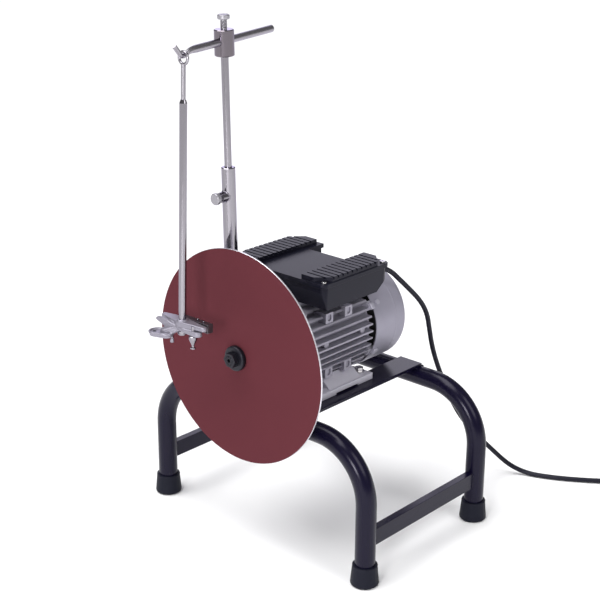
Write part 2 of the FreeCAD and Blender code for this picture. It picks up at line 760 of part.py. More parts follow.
def make_stand():
    make_arch("front_arch", dim.front_arch_y)
    make_arch("rear_arch", rear_arch_y)
    make_rubber_feet()
    for side_name, side in (("left", -1), ("right", 1)):
        make_rail(f"{side_name}_rail", side)
        make_side_bar(f"{side_name}_side_bar", side)


# Motor

def corner_points(circle_radius, angle):
    """The four points of a bolt circle at an angle above and below the horizontal."""
    across = circle_radius * cosine(angle)
    up = circle_radius * sine(angle)
    return [(side * across, level * up) for side in (-1, 1) for level in (-1, 1)]


def make_housing():
    """Cast housing: core tube, level fins trimmed to a circle, foot bosses and bolt bosses."""
    body = new_body("motor_housing")
    fin_radius = dim.fin_diameter / 2
    core = draw(body, "XZ_Plane", housing_rear)
    circle(core, 0, 0, dim.core_diameter / 2)
    pad(body, core, dim.housing_length)
    fin_span = dim.fin_pitch * (dim.fin_count - 1)
    fin = draw(body, "XZ_Plane", housing_rear)
    rectangle(
        fin, -fin_radius, fin_radius,
        -fin_span / 2 - dim.fin_thickness / 2, -fin_span / 2 + dim.fin_thickness / 2)
    first_fin = pad(body, fin, dim.housing_length)
    row_pattern(body, first_fin, fin, "V_Axis", fin_span, dim.fin_count)
    seat = draw(body, "XZ_Plane", housing_rear)
    rectangle(seat, -dim.seat_width / 2, dim.seat_width / 2, dim.core_diameter / 4, fin_radius)
    pad(body, seat, housing_rear - dim.box_front)
    for end_y, reverse in ((housing_rear, False), (dim.housing_front, True)):
        posts = draw(body, "XZ_Plane", end_y)
        for x, z in corner_points(dim.shield_bolt_circle / 2, dim.shield_bolt_angle):
            circle(posts, x, z, dim.shield_boss_radius)
        pad(body, posts, dim.shield_boss_length, reverse)
    pads = draw(body, "YZ_Plane", -dim.ejector_pad_reach)
    for pad_y in (dim.ejector_pad_front, dim.ejector_pad_front + dim.ejector_pad_spacing):
        circle(pads, pad_y, dim.fin_pitch / 2, dim.ejector_pad_diameter / 2)
    pad(body, pads, dim.ejector_pad_reach * 2)
    trim = draw(body, "XZ_Plane", housing_rear)
    circle(trim, 0, 0, fin_radius)
    circle(trim, 0, 0, dim.fin_diameter)
    pocket(body, trim)
    for boss_y in (dim.boss_front, dim.boss_front + dim.boss_spacing):
        bosses = draw(body, "XZ_Plane", boss_y + dim.boss_width / 2)
        for side in (-1, 1):
            for level in (-1, 1):
                middle = level * dim.boss_level
                edges = sorted((side * dim.core_diameter / 4, side * dim.boss_reach), key=amount_of)
                rectangle(
                    bosses, edges[0], edges[1],
                    middle - dim.boss_width / 2, middle + dim.boss_width / 2)
        pad(body, bosses, dim.boss_width)
    bore = draw(body, "XZ_Plane", housing_rear)
    circle(bore, 0, 0, dim.bore_diameter / 2)
    pocket(body, bore)
    for boss_y in (dim.boss_front, dim.boss_front + dim.boss_spacing):
        for role_side in (-1, 1):
            recess = draw(body, "YZ_Plane", role_side * dim.boss_reach)
            for level in (-1, 1):
                middle = level * dim.boss_level
                half = dim.boss_recess_width / 2
                outline(recess, [
                    (boss_y - half, middle - half / 2),
                    (boss_y + half, middle - half / 2, half * 1.1),
                    (boss_y + half, middle + half * 1.3),
                    (boss_y - half, middle + half * 1.3),
                ])
            pocket(body, recess, dim.boss_recess, reverse=role_side < 0)
    tapped = draw(body, "XZ_Plane", housing_rear)
    for x, z in corner_points(dim.shield_bolt_circle / 2, dim.shield_bolt_angle):
        circle(tapped, x, z, dim.shield_bolt_diameter / 2)
    pocket(body, tapped)
    place(body, z=spindle_z)
    keep(body)


def make_shield(name, face_y, way, rim_diameter):
    """End shield: rim on the housing, dished wall, bearing hub and four bolt lugs."""
    rim = rim_diameter / 2
    hub = dim.shield_hub_diameter / 2
    wall = dim.shield_wall
    spigot = dim.bore_diameter / 2
    seat = dim.bearing_diameter / 2
    hub_end = face_y + way * dim.shield_hub_length
    seat_end = hub_end - way * 2
    shaft_hole = dim.bearing_bore / 2 + 1
    rim_end = face_y + way * dim.shield_rim_width
    body = turned_y(name, [
        (shaft_hole, hub_end),
        (hub - 2, hub_end),
        (hub, hub_end - way * 2),
        (hub + 3, rim_end + way * 2),
        (rim - 8, rim_end),
        (rim, rim_end - way * 4),
        (rim, face_y),
        (spigot, face_y),
        (spigot, face_y - way * dim.shield_spigot),
        (spigot - wall, face_y - way * dim.shield_spigot),
        (spigot - wall, rim_end - way * wall),
        (seat + wall, rim_end - way * wall),
        (seat + wall, seat_end - way * (dim.bearing_width + 2)),
        (seat, seat_end - way * (dim.bearing_width + 2)),
        (seat, seat_end),
        (shaft_hole, seat_end),
    ])
    lugs = draw(body, "XZ_Plane", face_y)
    for x, z in corner_points(dim.shield_bolt_circle / 2, dim.shield_bolt_angle):
        circle(lugs, x, z, dim.shield_boss_radius)
    pad(body, lugs, dim.shield_rim_width, reverse=way > 0)
    holes = draw(body, "XZ_Plane", face_y)
    for x, z in corner_points(dim.shield_bolt_circle / 2, dim.shield_bolt_angle):
        circle(holes, x, z, dim.shield_bolt_diameter / 2)
    pocket(body, holes)
    place(body, z=spindle_z)
    return keep(body)


def add_cover_lugs(shield):
    """Arms on the rear shield that carry the fan cover."""
    reach = dim.cover_diameter / 2 - dim.cover_wall
    inner = dim.rear_rim_diameter / 2 - dim.shield_rim_width
    for side in (-1, 1):
        for level in (-1, 1):
            arm = draw(shield, "XZ_Plane", housing_rear + dim.shield_rim_width)
            across = cosine(dim.lug_angle) * side
            up = sine(dim.lug_angle) * level
            half = dim.lug_width / 2
            corners = [
                (inner * across - half * up, inner * up + half * across),
                (inner * across + half * up, inner * up - half * across),
                (reach * across + half * up, reach * up - half * across),
                (reach * across - half * up, reach * up + half * across),
            ]
            outline(arm, corners)
            pad(shield, arm, dim.shield_rim_width)
            tab = draw(shield, "XZ_Plane", housing_rear + dim.lug_length)
            root = reach - dim.shield_wall
            outline(tab, [
                (root * across - half * up, root * up + half * across),
                (root * across + half * up, root * up - half * across),
                corners[2],
                corners[3],
            ])
            pad(shield, tab, dim.lug_length)
    trim = draw(shield, "XZ_Plane", housing_rear)
    circle(trim, 0, 0, reach)
    circle(trim, 0, 0, dim.cover_diameter)
    pocket(shield, trim)


def make_shield_bolts():
    """Hexagon bolts through both end shields into the housing."""
    items = []
    for end, face_y, way in (("front", dim.housing_front, -1), ("rear", housing_rear, 1)):
        seat_y = face_y + way * dim.shield_rim_width
        for index, (x, z) in enumerate(corner_points(dim.shield_bolt_circle / 2, dim.shield_bolt_angle)):
            name = f"{end}_shield_bolt_{index}"
            shank = cylinder(f"{name}_shank", dim.shield_bolt_diameter / 2, dim.shield_bolt_length)
            head = prism(f"{name}_head", dim.shield_bolt_head, dim.shield_bolt_head_height)
            place(head, z=dim.shield_bolt_length)
            bolt = fuse(name, shank, head)
            bolt.Placement = Placement(Vector(), Rotation(Vector(1, 0, 0), -90 * way))
            place(bolt, x, seat_y - way * dim.shield_bolt_length, spindle_z + z)
            items.append(bolt)
    group("shield_bolts", items)


def make_motor_foot(name, side):
    """Bolt-on foot: plate with a sloping web, coped to the housing."""
    body = new_body(name)
    inner = dim.foot_inner_gap / 2
    outer = dim.foot_width / 2
    middle = (hole_front + hole_rear) / 2
    plate = draw(body, "XY_Plane", rail_top)
    edges = sorted((side * inner, side * outer), key=amount_of)
    rectangle(plate, edges[0], edges[1], middle - dim.foot_length / 2, middle + dim.foot_length / 2)
    pad(body, plate, dim.foot_thickness)
    web = draw(body, "XZ_Plane", middle + dim.foot_web_length / 2)
    plate_top = rail_top + dim.foot_thickness
    outline(web, [
        (side * inner, plate_top - 1),
        (side * (outer - 4), plate_top - 1),
        (side * (outer - 4), plate_top),
        (side * (hole_x - 6), plate_top + dim.foot_web_height),
        (side * inner, plate_top + dim.foot_web_height),
    ])
    pad(body, web, dim.foot_web_length)
    relief = draw(body, "XY_Plane", rail_top)
    rectangle(
        relief, edges[0] - 1, edges[1] + 1,
        middle - dim.foot_relief_length / 2, middle + dim.foot_relief_length / 2)
    pocket(body, relief, dim.foot_relief, reverse=True)
    cope = draw(body, "XZ_Plane", middle)
    circle(cope, 0, spindle_z, dim.fin_diameter / 2)
    pocket(body, cope)
    holes = draw(body, "XY_Plane", rail_top)
    for hole_y in (hole_front, hole_rear):
        circle(holes, side * hole_x, hole_y, dim.bolt_hole_diameter / 2)
    pocket(body, holes)
    keep(body)


def make_motor_bolts():
    """Hexagon bolts, washers and nuts that hold the motor on the rails."""
    spots = [(side * hole_x, hole_y) for side in (-1, 1) for hole_y in (hole_front, hole_rear)]
    grip = dim.washer_thickness + dim.foot_thickness + dim.rail_thickness
    seat = rail_top + dim.foot_thickness
    bolts = []
    washers = []
    nuts = []
    for index, (x, y) in enumerate(spots):
        washer_disc = cylinder(f"washer_disc_{index}", dim.washer_diameter / 2, dim.washer_thickness)
        washer_hole = cylinder(f"washer_hole_{index}", dim.bolt_diameter / 2, dim.washer_thickness)
        washer = cut(f"washer_{index}", washer_disc, washer_hole)
        place(washer, x, y, seat)
        washers.append(washer)
        length = grip + dim.bolt_nut_height + 2
        shank = cylinder(f"bolt_shank_{index}", dim.bolt_diameter / 2, length)
        head = prism(f"bolt_head_{index}", dim.bolt_head_across, dim.bolt_head_height)
        place(head, z=length)
        bolt = fuse(f"bolt_{index}", shank, head)
        place(bolt, x, y, seat + dim.washer_thickness - length)
        bolts.append(bolt)
        nut_block = prism(f"nut_block_{index}", dim.bolt_head_across, dim.bolt_nut_height)
        nut_hole = cylinder(f"nut_hole_{index}", dim.bolt_diameter / 2, dim.bolt_nut_height)
        nut = cut(f"nut_{index}", nut_block, nut_hole)
        place(nut, x, y, dim.arch_height - dim.bolt_nut_height)
        nuts.append(nut)
    group("motor_bolts", bolts)
    group("motor_washers", washers)
    group("motor_nuts", nuts)


def bearing_place(face_y, way):
    """Front and rear end of the bearing that sits in the shield at face_y."""
    outer_end = face_y + way * (dim.shield_hub_length - 2)
    inner_end = outer_end - way * dim.bearing_width
    return sorted((outer_end, inner_end), key=amount_of)


def make_bearing(name, face_y, way):
    """Ball bearing with dished shields on both sides."""
    low, high = bearing_place(face_y, way)
    outer = dim.bearing_diameter / 2
    inner = dim.bearing_bore / 2 + dim.running_clearance
    body = turned_y(name, [
        (inner, low),
        (inner + 2.2, low),
        (inner + 2.2, low + 0.8),
        (outer - 2.2, low + 0.8),
        (outer - 2.2, low),
        (outer, low),
        (outer, high),
        (outer - 2.2, high),
        (outer - 2.2, high - 0.8),
        (inner + 2.2, high - 0.8),
        (inner + 2.2, high),
        (inner, high),
    ])
    place(body, z=spindle_z)
    keep(body)


def make_shaft():
    """Stepped motor shaft with a key seat."""
    _, front_high = bearing_place(dim.housing_front, -1)
    rear_low, rear_high = bearing_place(housing_rear, 1)
    tip = dim.shoulder_y - dim.shaft_extension
    output = dim.shaft_diameter / 2
    seat = dim.bearing_bore / 2
    middle = dim.shaft_body_diameter / 2
    tail = dim.shaft_tail_diameter / 2
    tail_end = rear_high + dim.shaft_tail_length
    body = turned_y("motor_shaft", [
        (0, tip),
        (output - 1, tip),
        (output, tip + 1),
        (output, dim.shoulder_y),
        (seat, dim.shoulder_y),
        (seat, front_high + 0.2),
        (middle, front_high + 0.2),
        (middle, rear_low - 0.2),
        (seat, rear_low - 0.2),
        (seat, rear_high),
        (tail, rear_high),
        (tail, tail_end),
        (0, tail_end),
    ])
    seat_sketch = draw(body, "XY_Plane", output)
    half = dim.key_width / 2
    key_front = tip + 5
    rectangle(seat_sketch, -half, half, key_front, key_front + dim.key_length)
    pocket(body, seat_sketch, dim.key_seat)
    place(body, z=spindle_z)
    keep(body)
    key = doc.addObject("Part::Box", "shaft_key")
    bind(key, "Length", dim.key_width)
    bind(key, "Width", dim.key_length)
    bind(key, "Height", dim.key_width)
    place(key, -half, key_front, spindle_z + output - dim.key_seat)
    keep(key)


def make_ring(name, inner, outer, low, high):
    body = turned_y(name, [(inner, low), (outer, low), (outer, high), (inner, high)])
    place(body, z=spindle_z)
    keep(body)


def make_winding(name, low, high):
    """Rounded end winding."""
    body = turned_y(name, rounded_corners(
        dim.winding_inner / 2, dim.winding_outer / 2, low, high, dim.winding_round))
    place(body, z=spindle_z)
    keep(body)


def make_electrics():
    stack_rear = dim.stack_front + dim.stack_length
    make_ring("stator_core", dim.stator_bore / 2, dim.bore_diameter / 2, dim.stack_front, stack_rear)
    make_winding("front_winding", dim.stack_front - dim.winding_overhang, dim.stack_front)
    make_winding("rear_winding", stack_rear, stack_rear + dim.winding_overhang)
    make_ring(
        "rotor_core", dim.shaft_body_diameter / 2, dim.stator_bore / 2 - dim.air_gap,
        dim.stack_front, stack_rear)


def make_fan():
    """Radial fan on the shaft's tail."""
    _, rear_high = bearing_place(housing_rear, 1)
    plate = rear_high + 2 + dim.fan_gap
    tail = dim.shaft_tail_diameter / 2
    hub = dim.fan_hub_diameter / 2
    rim = dim.fan_diameter / 2
    hub_end = plate + dim.fan_plate + dim.fan_blade_height / 2
    body = turned_y("cooling_fan", [
        (tail, plate),
        (rim, plate),
        (rim, plate + dim.fan_plate),
        (hub, plate + dim.fan_plate),
        (hub, hub_end),
        (tail, hub_end),
    ])
    blade = draw(body, "XZ_Plane", plate + dim.fan_plate)
    half = dim.fan_blade_width / 2
    rectangle(blade, hub - 2, rim, -half, half)
    first_blade = pad(body, blade, dim.fan_blade_height, reverse=True)
    ring_pattern(body, first_blade, blade, dim.fan_blade_count)
    place(body, z=spindle_z)
    keep(body)


def make_fan_cover():
    """Sheet cup with a ring of air slots."""
    outer = dim.cover_diameter / 2
    inner = outer - dim.cover_wall
    rear = cover_front + dim.cover_length
    bend = dim.cover_round
    body = turned_y("fan_cover", [
        (inner, cover_front),
        (outer, cover_front),
        (outer, cover_front + dim.cover_bead_inset - dim.cover_bead_width / 2),
        (outer + dim.cover_bead, cover_front + dim.cover_bead_inset),
        (outer, cover_front + dim.cover_bead_inset + dim.cover_bead_width / 2),
        (outer, rear - bend),
        (outer - bend, rear, bend),
        (0, rear),
        (0, rear - dim.cover_wall),
        (outer - bend, rear - dim.cover_wall),
        (inner, rear - bend, dim.cover_wall - bend),
    ])
    slot = draw(body, "XZ_Plane", rear)
    half = dim.cover_slot_width / 2
    link(slot, (dim.cover_slot_inner + half, 0), half, (dim.cover_slot_outer - half, 0), half)
    first_slot = pocket(body, slot, dim.cover_wall * 2, reverse=True)
    ring_pattern(body, first_slot, slot, dim.cover_slot_count)
    place(body, z=spindle_z)
    keep(body)
    make_cover_screws(outer)


def make_cover_screws(outer):
    """Pan screws that hold the fan cover on its lugs."""
    items = []
    for index, (side, level) in enumerate(((-1, -1), (-1, 1), (1, -1), (1, 1))):
        head = cylinder(f"cover_screw_{index}", dim.cover_screw_head / 2, dim.cover_screw_rise)
        across = side * cosine(dim.lug_angle)
        up = level * sine(dim.lug_angle)
        turn = math.degrees(math.atan2(amount_of(up), amount_of(across)))
        head.Placement = Placement(
            Vector(), Rotation(Vector(0, 1, 0), 90 - turn))
        place(head, outer * across, cover_front + dim.cover_screw_inset, spindle_z + outer * up)
        items.append(head)
    group("fan_cover_screws", items)


# Terminal box

def box_plan(sketch, margin):
    """U-shaped plan of tray and lid: margin grows it, and the rear gap stays open."""
    side = dim.box_width / 2 + margin
    front = dim.box_front - margin
    rear = dim.box_front + dim.box_length + margin
    gap = dim.notch_width / 2 - margin
    depth = rear - dim.notch_depth
    corner = dim.box_corner
    outline(sketch, [
        (-side, front + corner),
        (-side + corner, front, corner),
        (side - corner, front),
        (side, front + corner, corner),
        (side, rear - corner),
        (side - corner, rear, corner),
        (gap, rear),
        (gap, depth),
        (-gap, depth),
        (-gap, rear),
        (-side + corner, rear),
        (-side, rear - corner, corner),
    ])


def make_box_base():
    """Tray that saddles the housing, with sloping ends and three hollows."""
    body = new_body("terminal_box_base")
    low = spindle_z + dim.box_bottom
    high = spindle_z + dim.box_lip
    front = dim.box_front
    rear = front + dim.box_length
    wall = dim.box_wall
    plan = draw(body, "XY_Plane", low)
    box_plan(plan, 0 * wall)
    pad(body, plan, high - low)
    slopes = draw(body, "YZ_Plane")
    outline(slopes, [
        (rear - dim.tray_rear_run, low),
        (rear, low),
        (rear, low + dim.tray_rear_rise),
    ])
    outline(slopes, [
        (front, low),
        (front + dim.tray_front_run, low),
        (front, low + dim.tray_front_rise),
    ])
    pocket(body, slopes)
    hollow_front = front + dim.tray_front_solid
    hollow_rear = rear - dim.tray_rear_solid
    sides = draw(body, "XY_Plane", high)
    for side in (-1, 1):
        near = dim.notch_width / 2 + wall
        edges = sorted((side * near, side * (dim.box_width / 2 - wall)), key=amount_of)
        rectangle(sides, edges[0], edges[1], hollow_front, hollow_rear)
    pocket(body, sides, high - low - dim.box_floor)
    middle = draw(body, "XY_Plane", high)
    inner = dim.notch_width / 2 - wall
    rectangle(middle, -inner, inner, hollow_front, rear - dim.notch_depth - wall)
    pocket(body, middle, high - low - dim.box_floor * 4)
    tapped = draw(body, "XY_Plane", high)
    for x, y in lid_screw_spots():
        circle(tapped, x, y, dim.lid_screw_shank / 2)
    pocket(body, tapped, dim.lid_screw_length - dim.lip_thickness)
    saddle = draw(body, "XZ_Plane", dim.box_front)
    circle(saddle, 0, spindle_z, dim.fin_diameter / 2)
    pocket(body, saddle)
    keep(body)


def make_box_lid():
    """Lid with two ribbed blocks over the capacitors."""
    body = new_body("terminal_box_lid")
    low = spindle_z + dim.box_lip
    plate_top = low + dim.lip_thickness
    top = plate_top + dim.block_rise
    plan = draw(body, "XY_Plane", low)
    box_plan(plan, dim.lip_overhang)
    pad(body, plan, dim.lip_thickness)
    edge = dim.box_width / 2 + dim.lip_overhang - dim.block_inset
    front = dim.box_front - dim.lip_overhang + dim.block_inset
    rear = dim.box_front + dim.box_length + dim.lip_overhang - dim.block_tail
    blocks = draw(body, "XY_Plane", plate_top)
    bevel = dim.block_corner
    for side in (-1, 1):
        outline(blocks, [
            (side * dim.block_inner, front),
            (side * (edge - bevel), front),
            (side * edge, front + bevel),
            (side * edge, rear - bevel),
            (side * (edge - bevel), rear),
            (side * dim.block_inner, rear),
        ])
    pad(body, blocks, dim.block_rise)
    groove = draw(body, "XY_Plane", top)
    start = front + dim.groove_margin
    rectangle(groove, -edge - 1, edge + 1, start, start + dim.groove_width)
    first_groove = pocket(body, groove, dim.groove_depth)
    row_pattern(
        body, first_groove, groove, "V_Axis",
        dim.groove_pitch * (dim.groove_count - 1), dim.groove_count)
    hollow = draw(body, "XY_Plane", low)
    wall = dim.box_wall
    for side in (-1, 1):
        sides = sorted((side * (dim.block_inner + wall), side * (edge - wall * 2)), key=amount_of)
        rectangle(hollow, sides[0], sides[1], front + wall * 8, rear - wall * 8)
    pocket(body, hollow, top - low - dim.groove_depth - wall, reverse=True)
    holes = draw(body, "XY_Plane", low)
    for x, y in lid_screw_spots():
        circle(holes, x, y, dim.lid_screw_shank / 2)
    pocket(body, holes)
    keep(body)


def lid_screw_spots():
    rows = (dim.lid_screw_front, dim.lid_screw_rear)
    return [(side * dim.lid_screw_x, y) for side in (-1, 1) for y in rows]


def make_lid_screws():
    items = []
    plate_top = spindle_z + dim.box_lip + dim.lip_thickness
    for index, (x, y) in enumerate(lid_screw_spots()):
        shank = cylinder(f"lid_screw_shank_{index}", dim.lid_screw_shank / 2, dim.lid_screw_length)
        head = cylinder(f"lid_screw_head_{index}", dim.lid_screw_head / 2, dim.lid_screw_rise)
        place(head, z=dim.lid_screw_length)
        screw = fuse(f"lid_screw_{index}", shank, head)
        place(screw, x, y, plate_top - dim.lid_screw_length)
        items.append(screw)
    group("lid_screws", items)


def make_capacitors():
    radius = dim.capacitor_diameter / 2
    level = spindle_z + dim.box_bottom + dim.box_floor + radius
    middle = dim.box_front + (dim.box_length + dim.tray_front_solid - dim.tray_rear_solid) / 2
    items = []
    for name, side in (("start_capacitor", -1), ("run_capacitor", 1)):
        soft = 2
        body = turned_y(name, [
            (0, middle - dim.capacitor_length / 2),
            (radius - soft, middle - dim.capacitor_length / 2),
            (radius, middle - dim.capacitor_length / 2 + soft),
            (radius, middle + dim.capacitor_length / 2 - soft),
            (radius - soft, middle + dim.capacitor_length / 2),
            (0, middle + dim.capacitor_length / 2),
        ])
        place(body, side * dim.capacitor_x, 0, level)
        items.append(body)
    group("capacitors", items)


# Disc

def make_disc():
    """Hub, plate, abrasive sheet, clamp washer, stud and nut."""
    stud = dim.stud_diameter / 2
    plate_front = dim.disc_front + dim.abrasive_thickness
    plate_rear = plate_front + dim.disc_thickness
    flange_rear = plate_rear + dim.hub_flange
    hub_rear = dim.shoulder_y - dim.hub_gap
    shaft_tip = dim.shoulder_y - dim.shaft_extension
    washer_front = dim.disc_front - dim.clamp_washer_thickness
    stud_front = washer_front - dim.nut_height - dim.stud_tip
    stud_rear = plate_rear + dim.stud_depth
    bore = dim.shaft_diameter / 2
    hub = turned_y("disc_hub", [
        (0, stud_rear),
        (stud, stud_rear),
        (stud, plate_rear),
        (dim.hub_flange_diameter / 2, plate_rear),
        (dim.hub_flange_diameter / 2, flange_rear - 2),
        (dim.hub_flange_diameter / 2 - 2, flange_rear),
        (dim.hub_diameter / 2, flange_rear),
        (dim.hub_diameter / 2, hub_rear),
        (bore, hub_rear),
        (bore, shaft_tip - 1),
        (0, shaft_tip - 1),
    ])
    keyway = draw(hub, "XZ_Plane", hub_rear)
    half = dim.key_width / 2
    rectangle(keyway, -half, half, 0 * half, bore + dim.key_width - dim.key_seat)
    pocket(hub, keyway, hub_rear - shaft_tip, reverse=True)
    place(hub, z=spindle_z)
    keep(hub)
    rim = dim.disc_diameter / 2
    plate = turned_y("grinding_disc", [
        (stud, plate_front),
        (rim - 0.5, plate_front),
        (rim, plate_front + 0.5),
        (rim, plate_rear - 0.5),
        (rim - 0.5, plate_rear),
        (stud, plate_rear),
    ])
    place(plate, z=spindle_z)
    keep(plate)
    make_ring("abrasive_sheet", stud, rim - dim.abrasive_margin, dim.disc_front, plate_front)
    washer_rim = dim.clamp_washer_diameter / 2
    washer = turned_y("clamp_washer", [
        (stud, washer_front),
        (washer_rim - 2.5, washer_front),
        (washer_rim, washer_front + 2.5, 2.5),
        (washer_rim, dim.disc_front),
        (stud, dim.disc_front),
    ])
    place(washer, z=spindle_z)
    keep(washer)
    stud_rod = turned_y("disc_stud", [
        (0, stud_front),
        (stud - 1, stud_front),
        (stud, stud_front + 1),
        (stud, stud_rear),
        (0, stud_rear),
    ])
    socket = draw(stud_rod, "XZ_Plane", stud_front)
    corner = dim.stud_socket / 2
    outline(socket, [
        (corner * math.cos(math.radians(60 * step)), corner * math.sin(math.radians(60 * step)))
        for step in range(6)
    ])
    pocket(stud_rod, socket, dim.stud_socket_depth)
    place(stud_rod, z=spindle_z)
    keep(stud_rod)
    nut_block = prism("disc_nut_block", dim.nut_across, dim.nut_height)
    nut_hole = cylinder("disc_nut_hole", stud, dim.nut_height)
    nut = keep(cut("disc_nut", nut_block, nut_hole))
    nut.Placement = Placement(Vector(), Rotation(Vector(1, 0, 0), 90))
    place(nut, 0, washer_front, spindle_z)


def make_motor():
    make_housing()
    make_shield("front_end_shield", dim.housing_front, -1, dim.front_rim_diameter)
    rear_shield = make_shield("rear_end_shield", housing_rear, 1, dim.rear_rim_diameter)
    add_cover_lugs(rear_shield)
    make_shield_bolts()
    make_motor_foot("left_motor_foot", -1)
    make_motor_foot("right_motor_foot", 1)
    make_motor_bolts()
    make_bearing("front_bearing", dim.housing_front, -1)
    make_bearing("rear_bearing", housing_rear, 1)
    make_shaft()
    make_electrics()
    make_fan()
    make_fan_cover()


# Mast, cross block and arm

def screw_head_points(start, way, head_radius, head_height, soft):
    """Profile of a rounded thumb screw head, from its underside outwards."""
    return [
        (head_radius - soft, start),
        (head_radius, start + way * soft, way * soft),
        (head_radius, start + way * (head_height - soft)),
        (head_radius - soft, start + way * head_height, way * soft),
        (0, start + way * head_height),
    ]


def make_mast():
    radius = dim.mast_diameter / 2
    bore = dim.mast_rod_diameter / 2 + dim.running_clearance
    stem = dim.screw_diameter / 2
    stem_hole = stem + dim.running_clearance
    tube = turned_z("mast_tube", [
        (0, 0),
        (radius, 0),
        (radius, dim.mast_top - 1),
        (radius - 1, dim.mast_top),
        (bore, dim.mast_top),
        (bore, dim.mast_bore_floor),
        (0, dim.mast_bore_floor),
    ])
    cope = draw(tube, "YZ_Plane")
    circle(cope, 0, 0, tube_radius)
    pocket(tube, cope)
    screw_hole = draw(tube, "XZ_Plane")
    circle(screw_hole, 0, dim.mast_screw_level, stem_hole)
    pocket(tube, screw_hole, dim.mast_diameter, reverse=True)
    tube.Placement = mast_frame
    keep(tube)

    boss = new_body("mast_clamp_boss")
    boss_end = radius + dim.mast_boss_length
    ring = draw(boss, "XZ_Plane")
    circle(ring, 0, dim.mast_screw_level, dim.mast_boss_diameter / 2)
    circle(ring, 0, dim.mast_screw_level, stem_hole)
    pad(boss, ring, boss_end)
    saddle = draw(boss, "XY_Plane", dim.mast_screw_level)
    circle(saddle, 0, 0, radius)
    pocket(boss, saddle)
    boss.Placement = mast_frame
    keep(boss)

    tip = -(dim.mast_rod_diameter / 2 + dim.tip_gap)
    head_start = -(boss_end + dim.mast_screw_stem)
    screw = turned_y("mast_screw", [
        (0, tip),
        (stem, tip),
        (stem, head_start),
    ] + screw_head_points(
        head_start, -1, dim.screw_head_diameter / 2, dim.screw_head_height, dim.screw_head_round))
    screw.Placement = mast_frame * Placement(
        Vector(0, 0, amount_of(dim.mast_screw_level)), Rotation())
    keep(screw)

    rod_top = dim.block_level + dim.block_socket
    rod = cylinder("mast_rod", dim.mast_rod_diameter / 2, rod_top - dim.mast_rod_foot)
    rod.Placement = mast_frame * Placement(Vector(0, 0, amount_of(dim.mast_rod_foot)), Rotation())
    keep(rod)


def make_head():
    """Cross block, its arm with the hook, and the arm screw."""
    outer = dim.block_diameter / 2
    socket = dim.mast_rod_diameter / 2 + dim.running_clearance
    stem = dim.screw_diameter / 2
    stem_hole = stem + dim.running_clearance
    arm = dim.arm_diameter / 2
    edge = dim.block_chamfer
    base = -dim.arm_level
    top = base + dim.block_height
    block = turned_z("cross_block", [
        (socket, base),
        (outer - edge, base),
        (outer, base + edge),
        (outer, top - edge),
        (outer - edge, top),
        (stem_hole, top),
        (stem_hole, 0),
        (0, 0),
        (0, base + dim.block_socket + dim.tip_gap),
        (socket, base + dim.block_socket + dim.tip_gap),
    ])
    cross_hole = draw(block, "XZ_Plane")
    circle(cross_hole, 0, 0, arm + dim.running_clearance)
    pocket(block, cross_hole)
    block.Placement = head_frame
    keep(block)

    head_start = top + dim.arm_screw_stem
    screw = turned_z("arm_screw", [
        (0, arm + dim.tip_gap),
        (stem, arm + dim.tip_gap),
        (stem, head_start),
    ] + screw_head_points(
        head_start, 1, dim.screw_head_diameter / 2, dim.screw_head_height, dim.screw_head_round))
    screw.Placement = head_frame
    keep(screw)
    make_arm()


def make_arm():
    """Straight arm that tapers into a hook: bend, valley and rising tip."""
    arm = dim.arm_diameter / 2
    hook = dim.hook_diameter / 2
    body = turned_y("cross_arm", [
        (0, dim.arm_rear),
        (arm - dim.arm_chamfer, dim.arm_rear),
        (arm, dim.arm_rear - dim.arm_chamfer),
        (arm, -dim.arm_taper_start),
        (hook, -dim.arm_taper_end),
        (0, -dim.arm_taper_end),
    ])
    reach = dim.hook_reach - dim.arm_taper_end
    both_radii = (reach * reach + dim.hook_drop * dim.hook_drop) / (2 * dim.hook_drop)
    bend = both_radii - dim.hook_valley
    share = bend / both_radii
    meet_y = -dim.arm_taper_end - reach * share
    meet_z = -bend + (both_radii - dim.hook_drop) * share
    valley_y = -dim.hook_reach - dim.hook_valley * sine(dim.hook_rise)
    valley_z = -dim.hook_drop + dim.hook_valley * (1 - cosine(dim.hook_rise))
    path = draw(body, "YZ_Plane")
    outline(path, [
        (-dim.arm_taper_end, 0),
        (meet_y, meet_z, bend),
        (valley_y, valley_z, -dim.hook_valley),
        (valley_y - dim.hook_tip * cosine(dim.hook_rise), valley_z + dim.hook_tip * sine(dim.hook_rise)),
    ], closed=False)
    profile = draw(body, "XZ_Plane", -dim.arm_taper_end)
    circle(profile, 0, 0, hook)
    pipe(body, profile, path)
    body.Placement = head_frame
    keep(body)


# Pendulum and comb holder

def make_pendulum():
    wire = dim.eye_wire / 2
    ring_radius = dim.eye_diameter / 2
    ring_drop = ring_radius - wire - dim.hook_diameter / 2 - dim.eye_play
    ring = doc.addObject("Part::Torus", "eye_ring")
    bind(ring, "Radius1", ring_radius)
    bind(ring, "Radius2", wire)
    ring.Placement = Placement(Vector(), Rotation(Vector(1, 0, 0), 90))
    place(ring, z=-ring_drop)
    rod_top = ring_drop + ring_radius
    rod = cylinder("eye_rod", dim.eye_rod_diameter / 2, dim.eye_rod_end - rod_top)
    place(rod, z=-dim.eye_rod_end)
    eye = keep(fuse("pendulum_eye", ring, rod))
    eye.Placement = pendulum_frame

    outer = dim.sleeve_diameter / 2
    bore = dim.eye_rod_diameter / 2 + dim.running_clearance
    sleeve = turned_z("pendulum_tube", [
        (bore, -dim.sleeve_foot),
        (outer, -dim.sleeve_foot),
        (outer, -dim.sleeve_top - dim.sleeve_cone),
        (bore + 0.4, -dim.sleeve_top),
        (bore, -dim.sleeve_top),
    ])
    sleeve.Placement = pendulum_frame
    keep(sleeve)


